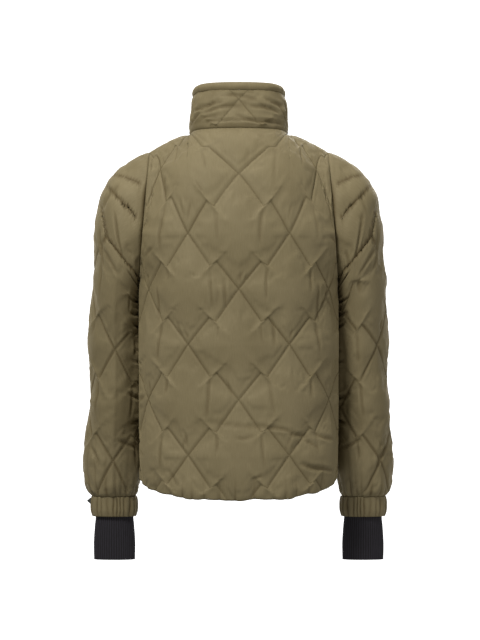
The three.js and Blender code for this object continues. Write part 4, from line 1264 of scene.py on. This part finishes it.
# %% Collar band
def band_piece():
    """The folded strip along the collar's top edge: a low roll with small puckers."""
    shares, ups = np.meshgrid(np.linspace(-1, 1, BAND_ACROSS + 1), np.linspace(0, 1, BAND_UP + 1))
    form, normal = collar_form(shares, COLLAR_HEIGHT + GAP + BAND_HEIGHT * ups)
    x, z = shares * 270, ups * BAND_HEIGHT
    roll = np.sin(pi * (4 * ups + 0.4) / 4.8)
    ends = pillow(0.25 + (1 - np.abs(shares)) * 20 / 3)
    puckers = 0.5 * uneven(x, z, 9, 61) + 0.5 * uneven(x, z, 24, 62)
    bulge = (BAND_BULGE * roll + puckers) * ends - 1.5 * (ups > 0.999)
    climbs = np.ones((BAND_UP, BAND_ACROSS), bool)
    outer, inner = form + normal * bulge[..., None], form - normal * (2.5 + 2 * roll)[..., None]
    return wall_mesh("collar_band_cloth", outer, inner, np.stack([x, z], -1) * MM, climbs, OLIVE)


band = place_piece(band_piece(), "collar_band")


# %% [markdown]
# ## Cuffs and wristlets
#
# Elastic gathers each cuff into narrow folds, flatter in their middles, with narrow slits between
# them, and shade is painted into the slits. The wristlet inside it is a tube of black knit with
# fine upright ribs, with painted shade between them too. Both are rings whose radius follows a
# wave, so their folds are real shape and not only a pattern.

# %% Cuffs and wristlets
GATHERS = 26
RIB_WAVES, RIB_DEPTH = 26, 0.35
CUFF_WALL, WRISTLET_WALL = 2.0, 1.4
CUFF_AROUND, WRISTLET_AROUND = 320, 416  # cells


def tube(name, section, centre, heights, around, wave, material, wall):
    """A ring-shaped cloth from a table of sections, with waves round it and shade painted between them."""
    angle, z = np.meshgrid(np.linspace(0, 2 * pi, around + 1), heights)
    s = section(z)
    grow = wave(angle, z)
    x = centre[0] + (s["half"] + grow) * np.cos(angle)
    y = centre[1] - (s["depth"] + grow) * np.sin(angle)
    run = np.hypot(s["half"].mean(), s["depth"].mean()) / np.sqrt(2)
    threads = np.stack([angle * run, z], -1) * MM
    outer = np.stack([x, y, z], -1)
    inner = outer - np.stack([np.cos(angle), -np.sin(angle), 0 * z], -1) * (wall + grow)[..., None]
    climbs = np.ones((len(heights) - 1, around), bool)
    # Painted shade between the waves, darker the deeper a point lies below their tops.
    painted_shade_between_waves = np.clip(1.6 * (1 - grow / grow.max(axis=1, keepdims=True)), 0, 1.25)
    return wall_mesh(name, outer, inner, threads, climbs, material, ring=True, sewn=0.8 * painted_shade_between_waves)


def cuff_wave(angle, z):
    """Gathers of uneven width and depth: narrow slits between flatter folds."""
    spread = angle + 0.11 * np.sin(3 * angle + 1) + 0.06 * np.sin(7 * angle)
    spread = spread + 0.012 * np.sin(z / 6 + 9 * angle)
    slit = 1 - np.abs(np.sin(GATHERS / 2 * spread)) ** 0.6
    middle = np.sin(pi * np.clip((z + 730) / 43, 0, 1)) ** 0.4
    deep = 0.7 + 0.3 * np.sin(5 * angle + 2) * np.cos(2 * angle + 0.6)
    return 3.4 * (1 - slit * (0.3 + 0.7 * middle) * deep) * (0.4 + 0.6 * middle)


def ribs(angle, z):
    """The wristlet's fine upright ribs."""
    return RIB_DEPTH * np.abs(np.sin(RIB_WAVES * angle))


cuff_heights, wristlet_heights = np.linspace(-726, -688.3, 19), np.linspace(-808, -703, 43)
cuff_right = tube(
    "cuff_right_cloth",
    cuff_section,
    (235.5, 73),
    cuff_heights,
    CUFF_AROUND,
    cuff_wave,
    OLIVE,
    CUFF_WALL,
)
wristlet_right = tube(
    "wristlet_right_cloth",
    wristlet_section,
    (235, 73),
    wristlet_heights,
    WRISTLET_AROUND,
    ribs,
    KNIT,
    WRISTLET_WALL,
)
cuff_left = mirrored(cuff_right, "cuff_left_cloth")
wristlet_left = mirrored(wristlet_right, "wristlet_left_cloth")
CUFF_FLAT, WRISTLET_FLAT = (0.3, 0.038), (0.2, 0.105)  # metres, all round and up
for piece, node, flat in (
    (cuff_right, "cuff_right", CUFF_FLAT),
    (cuff_left, "cuff_left", CUFF_FLAT),
    (wristlet_right, "wristlet_right", WRISTLET_FLAT),
    (wristlet_left, "wristlet_left", WRISTLET_FLAT),
):
    place_piece(piece, node)

# %% [markdown]
# ## Zip teeth
#
# The zip closes the front up to the collar's top. Its moulded teeth reach from the two tapes in
# turn, and each is a small closed block, narrower past the middle. They follow the front edge and
# then the collar's, in steps of one tooth.

# %% Zip teeth
TOOTH = {"pitch": 1.55, "reach": 2.5, "tall": 1.1, "thick": 2.2, "in": -1.1}


def zip_line():
    """Points up the middle of the zip, in steps of one tooth, with their directions up and out."""
    rows = np.linspace(LAST_ROW, 1, 200)
    low = read_table(front_table, 0 * rows, rows)
    collar_heights = np.linspace(COLLAR_BOTTOM + 1, COLLAR_HEIGHT + GAP + BAND_HEIGHT - 1, 30)
    high, _ = collar_form(np.ones(30), collar_heights)
    line = np.concatenate([low, high])[:, 1:]
    run = np.concatenate([[0], np.cumsum(np.linalg.norm(np.diff(line, axis=0), axis=1))])
    place = np.arange(1.5, run[-1] - 6, TOOTH["pitch"])
    points = np.stack([np.interp(place, run, line[:, axis]) for axis in (0, 1)], -1)
    up = unit(np.gradient(points, axis=0))
    out = np.stack([up[:, 1], -up[:, 0]], -1)
    return points, up, out


def zip_teeth():
    """Moulded teeth that reach from left and right in turn, as one mesh of small blocks."""
    points, up, out = zip_line()
    side = np.where(np.arange(len(points)) % 2, 1, -1)
    rings = np.empty((len(points), 2, 4, 3))
    across = (TOOTH["reach"], -0.6)  # from its root on the tape to just past the middle
    for k, (x, narrow) in enumerate(zip(across, (1, 0.62))):
        for corner, (a, b) in enumerate(((-1, -1), (1, -1), (1, 1), (-1, 1))):
            flat = points + out * (TOOTH["in"] + a * narrow * TOOTH["thick"] / 2)
            flat = flat + up * (b * narrow * TOOTH["tall"] / 2)
            rings[:, k, corner, 0] = side * x
            rings[:, k, corner, 1:] = flat
    left = side < 0
    rings[left] = rings[left][:, :, ::-1]
    teeth = solid_strips("zip_teeth", rings, TEETH)
    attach(teeth, "jacket")
    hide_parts("zip_chain")
    print("zip teeth", len(points))


zip_teeth()

# %% [markdown]
# ## What keeps its solid
#
# The zip's tapes, slider and pull and the small tab on the left cuff are shown as the solids are,
# with their own finishes.

# %% Small parts
KEPT = {
    "zip_tape_left": TAPE,
    "zip_tape_right": TAPE,
    "zip_slider": METAL,
    "zip_pull": METAL,
    "cuff_tab": RUBBER,
}
for node, material in KEPT.items():
    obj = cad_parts[node]
    obj.data.materials.clear()
    obj.data.materials.append(material)
print("kept", len(KEPT))
